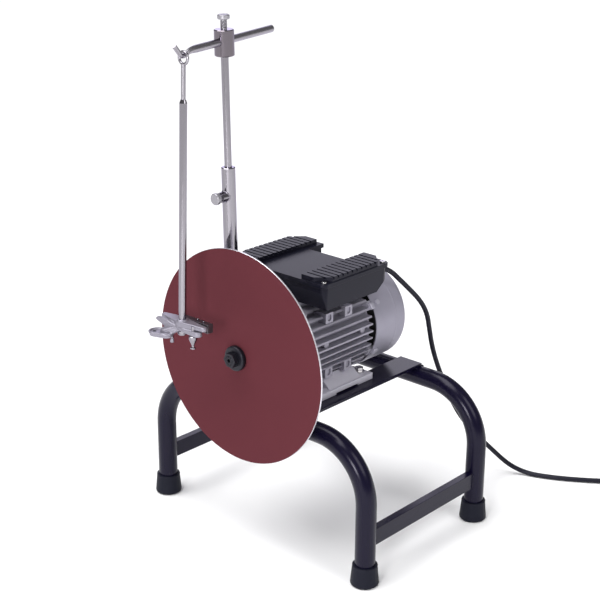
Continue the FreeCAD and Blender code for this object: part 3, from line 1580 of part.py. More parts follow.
def make_jaw(name, top, links):
    """Flat casting round the tube: tapered arms on a hub whose back is square."""
    body = new_body(name)
    low = top - dim.jaw_thickness
    for far, far_radius, near_radius in links:
        arm = draw(body, "XY_Plane", low)
        link(arm, (0 * far_radius, 0 * far_radius), near_radius, far, far_radius)
        pad(body, arm, dim.jaw_thickness)
    back = draw(body, "XY_Plane", low)
    rectangle(back, -dim.jaw_hub, dim.jaw_hub, 0 * dim.jaw_hub, dim.jaw_back)
    pad(body, back, dim.jaw_thickness)
    return body


def finish_jaw(body, top, holes):
    back = draw(body, "XY_Plane", top + dim.jaw_thickness)
    rectangle(back, -dim.bar_right, dim.bar_right, dim.jaw_back, dim.jaw_back + dim.jaw_hub)
    pocket(body, back)
    for x, y, radius in holes:
        hole = draw(body, "XY_Plane", top + dim.jaw_thickness)
        circle(hole, x, y, radius)
        pocket(body, hole)
    body.Placement = pendulum_frame
    keep(body)


def make_holder():
    """Two castings, steel bar with comb pins, and the screws under them."""
    tube = dim.sleeve_diameter / 2
    upper_top = -dim.jaw_top
    upper_low = upper_top - dim.jaw_thickness
    lower_top = upper_low - dim.jaw_gap
    lower_low = lower_top - dim.jaw_thickness
    screw_hole = dim.jaw_screw_diameter / 2 + dim.running_clearance
    screw_spot = (dim.jaw_screw_x, -dim.jaw_screw_front)
    stop_spot = (dim.stop_screw_x, -dim.stop_screw_front)
    tongue_spot = (-dim.tongue_reach, -dim.tongue_front)
    tongue_root = (-dim.tongue_reach * dim.tongue_root, -dim.tongue_front * dim.tongue_root)

    upper = make_jaw("upper_jaw", upper_top, [
        ((dim.upper_right_reach, -dim.upper_right_front), dim.jaw_tip_radius, dim.jaw_hub - 1),
        ((-dim.fin_reach, -dim.fin_front), dim.fin_tip_radius, dim.jaw_hub - 1),
    ])
    collar = draw(upper, "XY_Plane", upper_low)
    circle(collar, 0, 0, dim.saddle_radius)
    pad(upper, collar, dim.jaw_thickness + dim.saddle_rise)
    rib = draw(upper, "XY_Plane", upper_low)
    rib_root = (-dim.jaw_hub, dim.jaw_back - dim.fin_rib_radius)
    rib_tip = (-dim.fin_reach, -dim.fin_front)
    link(rib, rib_root, dim.fin_rib_radius, rib_tip, dim.fin_rib_radius)
    pad(upper, rib, dim.jaw_thickness + dim.fin_rise)
    finish_jaw(upper, upper_top, [
        (0 * tube, 0 * tube, tube),
        (*screw_spot, screw_hole),
    ])

    lower = make_jaw("lower_jaw", lower_top, [
        ((dim.lower_right_reach, -dim.lower_right_front), dim.jaw_tip_radius, dim.jaw_hub),
        (tongue_root, dim.tongue_root_radius, dim.jaw_hub),
    ])
    tongue_low = lower_top - dim.tongue_step - dim.tongue_thickness
    tongue = draw(lower, "XY_Plane", tongue_low)
    link(tongue, tongue_root, dim.tongue_root_radius, tongue_spot, dim.tongue_radius)
    pad(lower, tongue, dim.tongue_thickness)
    rim = draw(lower, "XY_Plane", tongue_low)
    circle(rim, *tongue_spot, dim.tongue_radius)
    circle(rim, *tongue_spot, dim.tongue_radius - dim.tongue_rim_width)
    pad(lower, rim, dim.tongue_thickness + dim.tongue_rim)
    finish_jaw(lower, lower_top, [
        (0 * tube, 0 * tube, tube),
        (*screw_spot, screw_hole),
        (*tongue_spot, dim.tongue_hole / 2),
        (*stop_spot, dim.stop_screw_diameter / 2),
    ])

    bar = doc.addObject("Part::Box", "holder_bar")
    bind(bar, "Length", dim.bar_left + dim.bar_right)
    bind(bar, "Width", dim.bar_depth)
    bind(bar, "Height", dim.bar_height)
    bar_top = upper_top + dim.bar_rise
    bar.Placement = pendulum_frame * Placement(
        Vector(-amount_of(dim.bar_left), amount_of(dim.jaw_back), amount_of(bar_top - dim.bar_height)),
        Rotation())
    keep(bar)
    pins = []
    for index in range(2):
        pin = cylinder(f"comb_pin_{index}", dim.pin_diameter / 2, dim.pin_rise)
        pin.Placement = pendulum_frame * Placement(
            Vector(
                amount_of(dim.pin_first + index * dim.pin_spacing),
                amount_of(dim.jaw_back + dim.bar_depth / 2), amount_of(bar_top)),
            Rotation())
        pins.append(pin)
    group("comb_pins", pins)

    nut_rim = dim.holder_nut_diameter / 2
    nut_low = lower_low - dim.holder_nut_height
    nut = turned_z("holder_nut", [
        (0, nut_low),
        (nut_rim - 3, nut_low),
        (nut_rim, nut_low + 3, 3),
        (nut_rim, lower_low),
        (tube, lower_low),
        (tube, -dim.sleeve_foot),
        (0, -dim.sleeve_foot),
    ])
    nut.Placement = pendulum_frame
    keep(nut)
    make_jaw_screw(screw_spot, upper_top, lower_low)
    make_stop_screw(stop_spot, lower_top, lower_low)


def make_jaw_screw(spot, high, low):
    """Screw with a tapered knob and a small button foot."""
    stem = dim.jaw_screw_diameter / 2
    knob = dim.jaw_knob_diameter / 2
    neck = dim.jaw_neck_diameter / 2
    button = dim.jaw_button_diameter / 2
    start = low - dim.tip_gap
    knob_end = start - dim.jaw_knob_height
    neck_end = knob_end - dim.jaw_neck_height
    body = turned_z("jaw_screw", [
        (0, neck_end - dim.jaw_button_height),
        (button, neck_end - dim.jaw_button_height),
        (button, neck_end),
        (neck, neck_end),
        (neck, knob_end),
        (knob, start - dim.jaw_knob_height / 3),
        (knob, start - 1),
        (knob - 1, start),
        (stem, start),
        (stem, high - 1),
        (0, high - 1),
    ])
    body.Placement = pendulum_frame * Placement(
        Vector(amount_of(spot[0]), amount_of(spot[1]), 0), Rotation())
    keep(body)


def make_stop_screw(spot, high, low):
    stem = dim.stop_screw_diameter / 2
    head = dim.stop_screw_head / 2
    end = low - dim.stop_screw_drop
    body = turned_z("stop_screw", [
        (0, end - 1.6),
        (head, end - 1.6),
        (head, end),
        (stem, end),
        (stem, high - 1),
        (0, high - 1),
    ])
    body.Placement = pendulum_frame * Placement(
        Vector(amount_of(spot[0]), amount_of(spot[1]), 0), Rotation())
    keep(body)


# Mains lead

def tangent_arc(start, way, end):
    """Arc from start, leaving along way, to end; gives the edge and the way at its end."""
    chord = end - start
    across = chord - way * chord.dot(way)
    across.normalize()
    radius = chord.Length ** 2 / (2 * chord.dot(across))
    centre = start + across * radius
    middle = centre + ((start - centre) + (end - centre)).normalize() * radius
    unit = Vector(chord).normalize()
    end_way = unit * (2 * way.dot(unit)) - way
    return Part.Arc(start, middle, end).toShape(), end_way, radius


def rounded_route(points):
    """Straight runs joined by tangent arcs as large as the runs allow."""
    edges = []
    radii = []
    last = points[0]
    for before, corner, after in zip(points, points[1:], points[2:]):
        back = (before - corner).normalize()
        ahead = (after - corner).normalize()
        turn = math.pi - back.getAngle(ahead)
        trim = 0.45 * min((before - corner).Length, (after - corner).Length)
        radii.append(trim / math.tan(turn / 2))
        first = corner + back * trim
        edges.append(Part.LineSegment(last, first).toShape())
        arc, _, _ = tangent_arc(first, -back, corner + ahead * trim)
        edges.append(arc)
        last = corner + ahead * trim
    edges.append(Part.LineSegment(last, points[-1]).toShape())
    return edges, radii


def tube_along(edges, way, radius):
    """Round tube along tangent edges."""
    path = Part.Wire(edges)
    start = edges[0].Vertexes[0].Point
    ring = Part.Wire([Part.Circle(start, way, radius).toShape()])
    return path.makePipeShell([ring], True, False), path.Length


def make_solid(name, shape, frame=None):
    item = doc.addObject("Part::Feature", name)
    item.Shape = shape
    if frame is not None:
        item.Placement = frame
    return keep(item)


def least_gap(edges, diameter, step):
    """Least clear distance of a tube to its own other turns."""
    points = []
    travel = []
    done = 0
    for edge in edges:
        count = max(2, int(edge.Length / step))
        for point in edge.discretize(count)[:-1]:
            points.append(point)
        travel.extend(done + edge.Length * k / (count - 1) for k in range(count - 1))
        done += edge.Length
    apart = 4 * diameter
    least = min(
        first.distanceToPoint(second)
        for first, s in zip(points, travel)
        for second, t in zip(points, travel)
        if t - s > apart)
    return least - diameter


def lead_points():
    """Control points of the lead: its start follows the gland, and its far end stays on the floor."""
    first = Vector(*CORD_ROUTE[0])
    floor = min(point[2] for point in CORD_ROUTE)
    raised = amount_of(spindle_z + dim.gland_level) - first.z
    moved = amount_of(dim.box_front + dim.box_length + dim.gland_reach) - first.y
    points = []
    for x, y, z in CORD_ROUTE:
        share = (z - floor) / (first.z - floor)
        points.append(Vector(x, y + moved, z + raised * share))
    return points


def make_lead():
    radius = amount_of(dim.cord_diameter) / 2
    pitch = amount_of(dim.coil_pitch)
    low = radius + amount_of(dim.coil_lift)
    route = lead_points()
    coil_x, coil_y = COIL_START
    coil_start = Vector(coil_x, coil_y + route[0].y - CORD_ROUTE[0][1], low)
    entry = Vector(coil_start.x - route[-1].x, coil_start.y - route[-1].y, 0).normalize()
    route.append(coil_start - entry * pitch)
    route.append(coil_start)
    edges, radii = rounded_route(route[:-1])
    edges[-1] = Part.LineSegment(edges[-1].Vertexes[0].Point, route[-2]).toShape()
    first_way = (route[1] - route[0]).normalize()
    tube, length = tube_along(edges, first_way, radius)
    print("cord radii", [round(value, 1) for value in radii])
    print("cord length", round(length, 1), "volume ratio",
          round(tube.Volume / (math.pi * radius ** 2 * length), 4))
    make_solid("power_cord", tube)
    make_coil(route[-2], entry, radius, pitch)
    make_gland()


def make_coil(start, entry, radius, pitch):
    """Coil that winds in on the floor, climbs in a half turn and winds out on top."""
    side = Vector(entry.y, -entry.x, 0)
    here = start + entry * pitch
    edges = [Part.LineSegment(start, here).toShape()]
    way = Vector(entry)
    lateral = 1
    turn = amount_of(dim.coil_radius)

    def half_turn(here, way, turn, lateral, lift):
        crown = math.sqrt(turn ** 2 + (lift / 2) ** 2)
        middle = here + side * (lateral * turn) + way * crown + Vector(0, 0, lift / 2)
        end = here + side * (2 * lateral * turn) + Vector(0, 0, lift)
        first, middle_way, _ = tangent_arc(here, way, middle)
        second, end_way, _ = tangent_arc(middle, middle_way, end)
        edges.extend((first, second))
        return end, end_way

    steps = [(-pitch / 2, 0)] * BOTTOM_HALF_TURNS + [(pitch / 2, pitch)] + [(pitch / 2, 0)] * TOP_HALF_TURNS
    for change, lift in steps:
        here, way = half_turn(here, way, turn, lateral, lift)
        lateral = -lateral
        turn += change
    tail = here + way * amount_of(dim.coil_tail)
    edges.append(Part.LineSegment(here, tail).toShape())
    coil, length = tube_along(edges, entry, radius)
    print("coil length", round(length, 1), "volume ratio",
          round(coil.Volume / (math.pi * radius ** 2 * length), 4),
          "least gap", round(least_gap(edges, 2 * radius, 6), 2))
    make_solid("cord_coil", coil)
    make_tie(start + entry * pitch, entry, side, radius, pitch)
    make_plug(tail, way)


def make_tie(start, entry, side, radius, pitch):
    """Flat band round the turns on the far side of the coil."""
    reach = 2 * amount_of(dim.coil_radius)
    thickness = amount_of(dim.tie_thickness)
    clear = amount_of(dim.tie_clearance)
    width = amount_of(dim.tie_width)
    across = 2 * pitch + 2 * radius + 2 * clear
    high = pitch + 2 * radius + 2 * clear
    soft = radius
    frame = Placement(
        start + side * (reach + radius + clear - across) + Vector(0, 0, -radius - clear),
        Rotation(side, Vector(0, 0, 1), -entry))

    def band(grow):
        box = Part.makeBox(
            across + 2 * grow, high + 2 * grow, width, Vector(-grow, -grow, -width / 2))
        upright = [
            edge for edge in box.Edges
            if abs(edge.Vertexes[0].Z - edge.Vertexes[1].Z) > width / 2]
        return box.makeFillet(soft + grow, upright)

    make_solid("cord_tie", band(thickness).cut(band(0)), frame)


def make_plug(start, way):
    """Moulded two-pin plug that lies on the floor."""
    width = dim.plug_width / 2
    high = dim.plug_height / 2
    cord = dim.cord_diameter / 2
    frame = Placement(start, Rotation(Vector(way.y, -way.x, 0), way, Vector(0, 0, 1)))
    body = new_body("mains_plug")
    soft = high - 3
    root = draw(body, "XZ_Plane")
    circle(root, 0, 0, cord + 1.2)
    shoulder = draw(body, "XZ_Plane", dim.plug_nose)
    circle(shoulder, 0, 0, high - 2)
    loft = body.newObject("PartDesign::AdditiveLoft", "mains_plug_nose")
    loft.Profile = root
    loft.Sections = [shoulder]
    plan = draw(body, "XZ_Plane", dim.plug_nose)
    rounded_rectangle(plan, -width, width, -high, high, soft)
    pad(body, plan, dim.plug_length, reverse=True)
    body.Placement = frame
    keep(body)
    pins = []
    for index, side in enumerate((-1, 1)):
        pin = cylinder(f"plug_pin_{index}", dim.plug_pin_diameter / 2, dim.plug_pin_length)
        pin.Placement = frame * Placement(
            Vector(
                side * amount_of(dim.plug_pin_spacing) / 2,
                amount_of(dim.plug_nose + dim.plug_length), 0),
            Rotation(Vector(1, 0, 0), -90))
        pins.append(pin)
    group("plug_pins", pins)


def make_gland():
    """Rubber strain relief on the rear wall of the tray: a flange and a drooping cone."""
    wall = dim.box_front + dim.box_length
    end_x = CORD_ROUTE[0][0]
    length = (dim.gland_reach - dim.gland_flange) / cosine(dim.gland_droop)
    root_z = spindle_z + dim.gland_level + length * sine(dim.gland_droop)
    flange = cylinder("gland_flange_disc", dim.gland_diameter / 2, dim.gland_flange)
    flange.Placement = Placement(Vector(), Rotation(Vector(1, 0, 0), -90))
    place(flange, end_x, wall, root_z)
    sleeve = doc.addObject("Part::Cone", "gland_sleeve")
    bind(sleeve, "Radius1", dim.gland_root / 2)
    bind(sleeve, "Radius2", dim.gland_tip / 2)
    bind(sleeve, "Height", length)
    sleeve.Placement = Placement(
        Vector(), Rotation(Vector(1, 0, 0), -90 - amount_of(dim.gland_droop)))
    place(sleeve, end_x, wall + dim.gland_flange, root_z)
    keep(fuse("cable_gland", flange, sleeve))


make_stand()
make_motor()
make_box_base()
make_box_lid()
make_lid_screws()
make_capacitors()
make_disc()
make_mast()
make_head()
make_pendulum()
make_holder()
make_lead()

doc.recompute()
for item in doc.Objects:
    if {"Invalid", "Error"} & set(item.State):
        raise RuntimeError(f"{item.Name} failed: {item.State}")
for item in pieces:
    if item.Shape.isNull() or not item.Shape.isValid():
        raise RuntimeError(f"{item.Label} has no valid shape")
os.makedirs("parts", exist_ok=True)
for item in pieces:
    item.Shape.exportStep(f"parts/{item.Label}.step")
print(len(pieces), "pieces")
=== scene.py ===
import json
import math
import bmesh
import bpy
from mathutils import Matrix, Vector


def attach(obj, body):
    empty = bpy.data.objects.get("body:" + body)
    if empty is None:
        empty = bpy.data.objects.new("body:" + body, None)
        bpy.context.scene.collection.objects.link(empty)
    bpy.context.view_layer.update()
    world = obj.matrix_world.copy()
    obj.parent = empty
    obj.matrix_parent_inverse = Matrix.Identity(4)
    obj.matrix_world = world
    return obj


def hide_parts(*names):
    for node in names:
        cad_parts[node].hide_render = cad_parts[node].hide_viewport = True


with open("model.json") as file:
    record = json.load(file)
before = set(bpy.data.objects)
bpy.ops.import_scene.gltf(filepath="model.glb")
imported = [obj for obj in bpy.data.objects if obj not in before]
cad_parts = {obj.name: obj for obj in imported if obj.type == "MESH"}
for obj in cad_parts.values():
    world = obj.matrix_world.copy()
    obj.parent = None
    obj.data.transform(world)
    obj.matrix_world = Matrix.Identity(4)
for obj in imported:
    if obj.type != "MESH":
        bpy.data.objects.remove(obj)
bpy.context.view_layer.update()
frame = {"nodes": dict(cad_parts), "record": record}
nodes = frame["nodes"]
MM = 0.001


# Materials

COOL_SHEEN = (0.90, 0.87, 1.0, 1)
GRAIN_DETAIL = 3
MOTTLE_DETAIL = 4
# Sockets of the colour mix node, by number, since its names repeat
MIX_FACTOR = 0
MIX_FIRST = 6
MIX_SECOND = 7
MIX_RESULT = 2
# Bumps that several finishes share: scale, strength, depth in metres
CAST_GRAIN = (1400, 0.10, 0.0002)
PLATE_WAVES = (120, 0.03, 0.0003)

FINISHES = {
    "gloss_black": dict(
        color=(0.004, 0.003, 0.014), roughness=0.24, bump=(180, 0.05, 0.0004), gloss=0.24),
    "rubber_black": dict(
        color=(0.006, 0.007, 0.014), roughness=0.55, bump=(900, 0.12, 0.0003), gloss=0.2),
    "motor_silver": dict(
        color=(0.36, 0.345, 0.415), roughness=0.42, metallic=0.25, bump=CAST_GRAIN,
        mottle=(60, (0.41, 0.395, 0.46))),
    # Painted shade: a darker copy of motor_silver for the housing, in place of the shade between
    # its fins
    "housing_silver_painted_shade": dict(
        color=(0.30, 0.288, 0.348), roughness=0.42, metallic=0.25, bump=CAST_GRAIN,
        mottle=(60, (0.345, 0.33, 0.385))),
    "cover_silver": dict(
        color=(0.275, 0.262, 0.325), roughness=0.42, metallic=0.25, bump=CAST_GRAIN,
        mottle=(60, (0.31, 0.30, 0.36))),
    # Painted light: a lighter copy of motor_silver, for the light that falls on the motor feet's
    # sloped faces
    "foot_silver_painted_light": dict(
        color=(0.62, 0.60, 0.68), roughness=0.42, metallic=0.25, bump=CAST_GRAIN),
    "zinc": dict(
        color=(0.66, 0.65, 0.64), roughness=0.25, metallic=1.0, bump=(700, 0.06, 0.0002)),
    "bright_steel": dict(color=(0.62, 0.62, 0.63), roughness=0.22, metallic=1.0),
    "core_steel": dict(color=(0.3, 0.3, 0.31), roughness=0.45, metallic=0.9),
    "copper": dict(color=(0.5, 0.2, 0.09), roughness=0.35, metallic=0.8),
    "box_black": dict(
        color=(0.007, 0.007, 0.014), roughness=0.38, bump=(1500, 0.12, 0.0002), gloss=0.2),
    "fan_plastic": dict(color=(0.02, 0.02, 0.02), roughness=0.5),
    "capacitor_white": dict(color=(0.7, 0.7, 0.68), roughness=0.4),
    "disc_alloy": dict(color=(0.70, 0.69, 0.74), roughness=0.35, metallic=0.9),
    "hub_alloy": dict(color=(0.68, 0.69, 0.70), roughness=0.3, metallic=1.0),
    "abrasive": dict(
        color=(0.112, 0.0245, 0.032), roughness=0.8, bump=(2600, 0.30, 0.0002),
        mottle=(9, (0.093, 0.0205, 0.0275)), gloss=0.12),
    "blackened": dict(color=(0.007, 0.007, 0.011), roughness=0.38, metallic=0.1, gloss=0.35),
    "chrome_plate": dict(
        color=(0.28, 0.266, 0.294), roughness=0.13, metallic=1.0, bump=PLATE_WAVES),
    "block_chrome": dict(
        color=(0.19, 0.168, 0.19), roughness=0.16, metallic=1.0, bump=PLATE_WAVES),
    "knob_chrome": dict(color=(0.37, 0.36, 0.39), roughness=0.42, metallic=0.8),
    "arm_chrome": dict(color=(0.33, 0.315, 0.345), roughness=0.30, metallic=1.0),
    "cast_alloy": dict(
        color=(0.29, 0.275, 0.325), roughness=0.40, metallic=0.6, bump=(260, 0.20, 0.0005)),
    "dark_steel": dict(color=(0.13, 0.115, 0.13), roughness=0.35, metallic=0.9),
    "cord_black": dict(
        color=(0.006, 0.006, 0.012), roughness=0.4, bump=(600, 0.05, 0.0002), gloss=0.25),
    "plug_black": dict(color=(0.012, 0.012, 0.013), roughness=0.45),
    "pin_nickel": dict(color=(0.72, 0.71, 0.68), roughness=0.2, metallic=1.0),
}
# CAD pieces whose finish isn't the one their slot is named after
OWN_FINISHES = {
    "arm_screw": "knob_chrome",
    "mast_screw": "knob_chrome",
    "cross_block": "block_chrome",
    "cross_arm": "arm_chrome",
    "pendulum_eye": "arm_chrome",
    # Painted shade: the housing takes the darker copy of motor_silver
    "motor_housing": "housing_silver_painted_shade",
    "fan_cover": "cover_silver",
    "fan_cover_screws": "motor_silver",
    # Painted light: the motor feet take the lighter copy of motor_silver
    "left_motor_foot": "foot_silver_painted_light",
    "right_motor_foot": "foot_silver_painted_light",
}


def noise(tree, scale, detail):
    """Output of a noise texture in the object's own coordinates."""
    place = tree.nodes.new("ShaderNodeTexCoord")
    texture = tree.nodes.new("ShaderNodeTexNoise")
    texture.inputs["Scale"].default_value = scale
    texture.inputs["Detail"].default_value = detail
    tree.links.new(place.outputs["Object"], texture.inputs["Vector"])
    return texture.outputs["Fac"]


def material(name, color, roughness, metallic=0.0, bump=None, mottle=None, gloss=0.5):
    """Principled surface.

    bump is (scale, strength, depth in metres); mottle is (scale, second colour).
    """
    mat = bpy.data.materials.new(name)
    mat.use_nodes = True
    tree = mat.node_tree
    shader = tree.nodes["Principled BSDF"]
    shader.inputs["Base Color"].default_value = (*color, 1)
    shader.inputs["Roughness"].default_value = roughness
    shader.inputs["Metallic"].default_value = metallic
    shader.inputs["Specular IOR Level"].default_value = gloss
    shader.inputs["Specular Tint"].default_value = COOL_SHEEN
    if bump:
        scale, strength, depth = bump
        relief = tree.nodes.new("ShaderNodeBump")
        relief.inputs["Strength"].default_value = strength
        relief.inputs["Distance"].default_value = depth
        tree.links.new(noise(tree, scale, GRAIN_DETAIL), relief.inputs["Height"])
        tree.links.new(relief.outputs["Normal"], shader.inputs["Normal"])
    if mottle:
        scale, second_color = mottle
        blend = tree.nodes.new("ShaderNodeMix")
        blend.data_type = "RGBA"
        blend.inputs[MIX_FIRST].default_value = (*color, 1)
        blend.inputs[MIX_SECOND].default_value = (*second_color, 1)
        tree.links.new(noise(tree, scale, MOTTLE_DETAIL), blend.inputs[MIX_FACTOR])
        tree.links.new(blend.outputs[MIX_RESULT], shader.inputs["Base Color"])
    return mat


LOOKS = {name: material(name, **finish) for name, finish in FINISHES.items()}
for part in frame["record"]["subparts"]:
    look = OWN_FINISHES.get(part["node"], part["material_slot"])
    node = nodes[part["node"]]
    node.data.materials.clear()
    node.data.materials.append(LOOKS[look])


# Rounded edges on the CAD pieces, by modifiers

WELD_REACH = 0.000002
SHARP_ANGLE = math.radians(40)


def soften(names, width, segments=2):
    """Rounds the sharp edges of CAD pieces; width is in millimetres."""
    for name in names:
        node = nodes[name]
        weld = node.modifiers.new("weld", "WELD")
        weld.merge_threshold = WELD_REACH
        bevel = node.modifiers.new("round", "BEVEL")
        bevel.width = width * MM
        bevel.segments = segments
        bevel.limit_method = "ANGLE"
        bevel.angle_limit = SHARP_ANGLE
        bevel.harden_normals = True


soften(["terminal_box_base"], 2.4, 3)
soften(["terminal_box_lid"], 0.7)
soften(["left_motor_foot", "right_motor_foot", "mains_plug"], 1.0)
soften(["left_rail", "right_rail", "left_side_bar", "right_side_bar"], 0.8)
soften(
    ["motor_bolts", "motor_nuts", "shield_bolts", "disc_nut", "lid_screws", "fan_cover_screws"],
    0.5)
soften(["clamp_washer"], 1.6, 3)
soften(["comb_pins", "stop_screw", "cord_tie"], 0.3)


# New pieces, from points in millimetres

TURNED_SIDES = 24
ROUND_SEGMENTS = 3


def add_piece(piece, body, slot_name, replaced=()):
    """Puts a new object in the scene, on a body, in a slot's finish."""
    bpy.context.scene.collection.objects.link(piece)
    piece.data.materials.append(LOOKS[slot_name])
    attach(piece, body)
    if replaced:
        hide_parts(*replaced)
    return piece


def mesh_piece(name, points, faces, body, slot_name):
    """Piece with a smooth mesh."""
    mesh = bpy.data.meshes.new(name)
    mesh.from_pydata([tuple(Vector(point) * MM) for point in points], [], faces)
    mesh.polygons.foreach_set("use_smooth", [True] * len(mesh.polygons))
    mesh.update()
    return add_piece(bpy.data.objects.new(name, mesh), body, slot_name)


def tube_mesh(rings, closed):
    """Points and faces of a tube made of equal rings of points."""
    count = len(rings)
    sides = len(rings[0])
    points = [point for ring in rings for point in ring]
    faces = []
    for index in range(count if closed else count - 1):
        here = index * sides
        there = (index + 1) % count * sides
        for side in range(sides):
            after = (side + 1) % sides
            faces.append((here + side, here + after, there + after, there + side))
    if not closed:
        faces.append(tuple(reversed(range(sides))))
        faces.append(tuple(range((count - 1) * sides, count * sides)))
    return points, faces


def turn_by(degrees, axis):
    """Rotation about a main axis."""
    return Matrix.Rotation(math.radians(degrees), 4, axis)


def turn_to(way):
    """Rotation that brings +Z onto a direction."""
    return Vector((0, 0, 1)).rotation_difference(Vector(way).normalized()).to_matrix().to_4x4()


def full_turn(count):
    """Evenly spaced angles all the way round."""
    return [2 * math.pi * index / count for index in range(count)]


def ring_points(placement, radius, count):
    """Points of a circle round the placement's Z axis."""
    return [
        placement @ Vector((radius * math.cos(angle), radius * math.sin(angle), 0))
        for angle in full_turn(count)
    ]


def straight(first, last, count):
    """Evenly spaced points from first to last."""
    first = Vector(first)
    last = Vector(last)
    return [first.lerp(last, index / (count - 1)) for index in range(count)]


def heading(path, index, closed=False):
    """Direction of a path at one of its points."""
    last = len(path) - 1
    ahead = path[(index + 1) % len(path)] if closed else path[min(index + 1, last)]
    behind = path[index - 1] if closed else path[max(index - 1, 0)]
    return Vector(ahead) - Vector(behind)


def make_bar(name, body, slot_name, placement, size):
    """Block with its middle at the placement."""
    points = []
    for x in (-0.5, 0.5):
        for y in (-0.5, 0.5):
            for z in (-0.5, 0.5):
                points.append(placement @ Vector((x * size[0], y * size[1], z * size[2])))
    faces = [
        (0, 1, 3, 2), (4, 6, 7, 5), (0, 4, 5, 1), (2, 3, 7, 6), (0, 2, 6, 4), (1, 5, 7, 3)]
    return mesh_piece(name, points, faces, body, slot_name)


def round_off(piece, width):
    """Rounds the edges of a new piece; width is in millimetres."""
    bevel = piece.modifiers.new("round", "BEVEL")
    bevel.width = width * MM
    bevel.segments = ROUND_SEGMENTS
    bevel.harden_normals = True


def make_turned(name, body, slot_name, placement, profile):
    """Turned piece from (radius, level) pairs along the placement's Z axis."""
    rings = [
        ring_points(placement @ Matrix.Translation((0, 0, level)), radius, TURNED_SIDES)
        for radius, level in profile
    ]
    return mesh_piece(name, *tube_mesh(rings, False), body, slot_name)


BEAD_SIDES = 8
BEAD_RIPPLE = 0.16
BEAD_RIPPLE_STEP = 1.7


def make_bead(name, body, slot_name, path, radius, closed=False):
    """Rippled bead along a path of points."""
    rings = []
    for index, point in enumerate(path):
        placement = Matrix.Translation(point) @ turn_to(heading(path, index, closed))
        size = radius * (1 + BEAD_RIPPLE * math.sin(index * BEAD_RIPPLE_STEP))
        rings.append(ring_points(placement, size, BEAD_SIDES))
    mesh_piece(name, *tube_mesh(rings, closed), body, slot_name)


THREAD_STEPS = 20
THREAD_PITCH = 1.25
THREAD_DEPTH = 0.5
# Flanks of the thread: below the stem's face, and their share of the pitch on both sides
THREAD_ROOT = -0.1
THREAD_FLANK = 0.45


def make_thread(name, body, slot_name, placement, radius, length):
    """Helical ridge round a stem that starts at the placement and runs along its +Z."""
    count = int(length / THREAD_PITCH * THREAD_STEPS)
    rings = []
    for index in range(count + 1):
        angle = 2 * math.pi * index / THREAD_STEPS
        level = THREAD_PITCH * index / THREAD_STEPS
        fade = min(1, index / THREAD_STEPS, (count - index) / THREAD_STEPS)
        flanks = (
            (THREAD_ROOT, -THREAD_FLANK), (THREAD_DEPTH * fade, 0), (THREAD_ROOT, THREAD_FLANK))
        ring = []
        for rise, offset in flanks:
            reach = radius + rise
            ring.append(placement @ Vector((
                reach * math.cos(angle), reach * math.sin(angle), level + offset * THREAD_PITCH)))
        rings.append(ring)
    mesh_piece(name, *tube_mesh(rings, False), body, slot_name)


# Places that the details share, in millimetres, as in the CAD

SPINDLE_Z = 285.5
LEG_X = 194
FRONT_Y = -62
REAR_Y = 185
SIDES = (("left", -1), ("right", 1))
MAST_FOOT = (-47.5, FRONT_Y, 195.5)
MAST_LEAN = 1.5
MAST_SCREW_LEVEL = 299
ARM_LEVEL = 503.1
ARM_YAW = 9.4
HOOK = (-33.617, -158.874, 691.434)
PENDULUM_LEAN = -2.1
MAST_FRAME = Matrix.Translation(MAST_FOOT) @ turn_by(MAST_LEAN, "X")
HEAD_FRAME = MAST_FRAME @ Matrix.Translation((0, 0, ARM_LEVEL)) @ turn_by(ARM_YAW, "Z")
HOLDER_FRAME = Matrix.Translation(HOOK) @ turn_by(PENDULUM_LEAN, "X")


# Threads of the two knob screws, and black crosses on the lid screws' heads: painted shade for
# their cross recesses

SCREW_RADIUS = 4
ARM_THREAD_START = 16.2
ARM_THREAD_LENGTH = 11
MAST_THREAD_START = 17.3
MAST_THREAD_LENGTH = 3.6
LID_JOINT = 96.5
LID_PLATE = 6
LID_SCREW_RISE = 2.4
LID_SCREW_X = 78.5
LID_SCREW_ROWS = (-20.5, 101.5)
CROSS_SHADE_SIZE = (4.6, 0.9, 0.12)


def make_screw_details():
    make_thread(
        "arm_screw_thread", "arm_screw", "chrome_plate",
        HEAD_FRAME @ Matrix.Translation((0, 0, ARM_THREAD_START)),
        SCREW_RADIUS, ARM_THREAD_LENGTH)
    mast_side = Matrix.Translation((0, -MAST_THREAD_START, MAST_SCREW_LEVEL)) @ turn_by(90, "X")
    make_thread(
        "mast_screw_thread", "mast_screw", "chrome_plate",
        MAST_FRAME @ mast_side, SCREW_RADIUS, MAST_THREAD_LENGTH)
    head_level = SPINDLE_Z + LID_JOINT + LID_PLATE + LID_SCREW_RISE
    spots = [(x, y) for y in LID_SCREW_ROWS for x in (-LID_SCREW_X, LID_SCREW_X)]
    # Painted shade: thin black crosses on the screw heads, for the shade in their cross recesses
    for index, (x, y) in enumerate(spots):
        for arm in range(2):
            make_bar(
                f"lid_screw_cross_shade_{index}_{arm}", "stand", "blackened",
                Matrix.Translation((x, y, head_level)) @ turn_by(45 + 90 * arm, "Z"), CROSS_SHADE_SIZE)


# Weld beads of the stand and the mast

BAR_FACE = 5.5
BAR_END = 12.9
BAR_LOW = 55
BAR_HIGH = 77
BAR_BEAD = 1.5
BAR_BEAD_POINTS = 15
RAIL_X = 69.5
RAIL_HALF_WIDTH = 19
RAIL_BEAD_Y = 6.4
RAIL_BEAD_LEVEL = 208.2
RAIL_BEAD = 1.6
RAIL_BEAD_POINTS = 25
MAST_FOOT_RADIUS = 10.2
ARCH_RADIUS = 14.4
MAST_FOOT_BEAD = 1.5
MAST_FOOT_POINTS = 40
BOSS_RADIUS = 7.6
MAST_RADIUS = 9.7
BOSS_BEAD = 0.9
BOSS_POINTS = 28


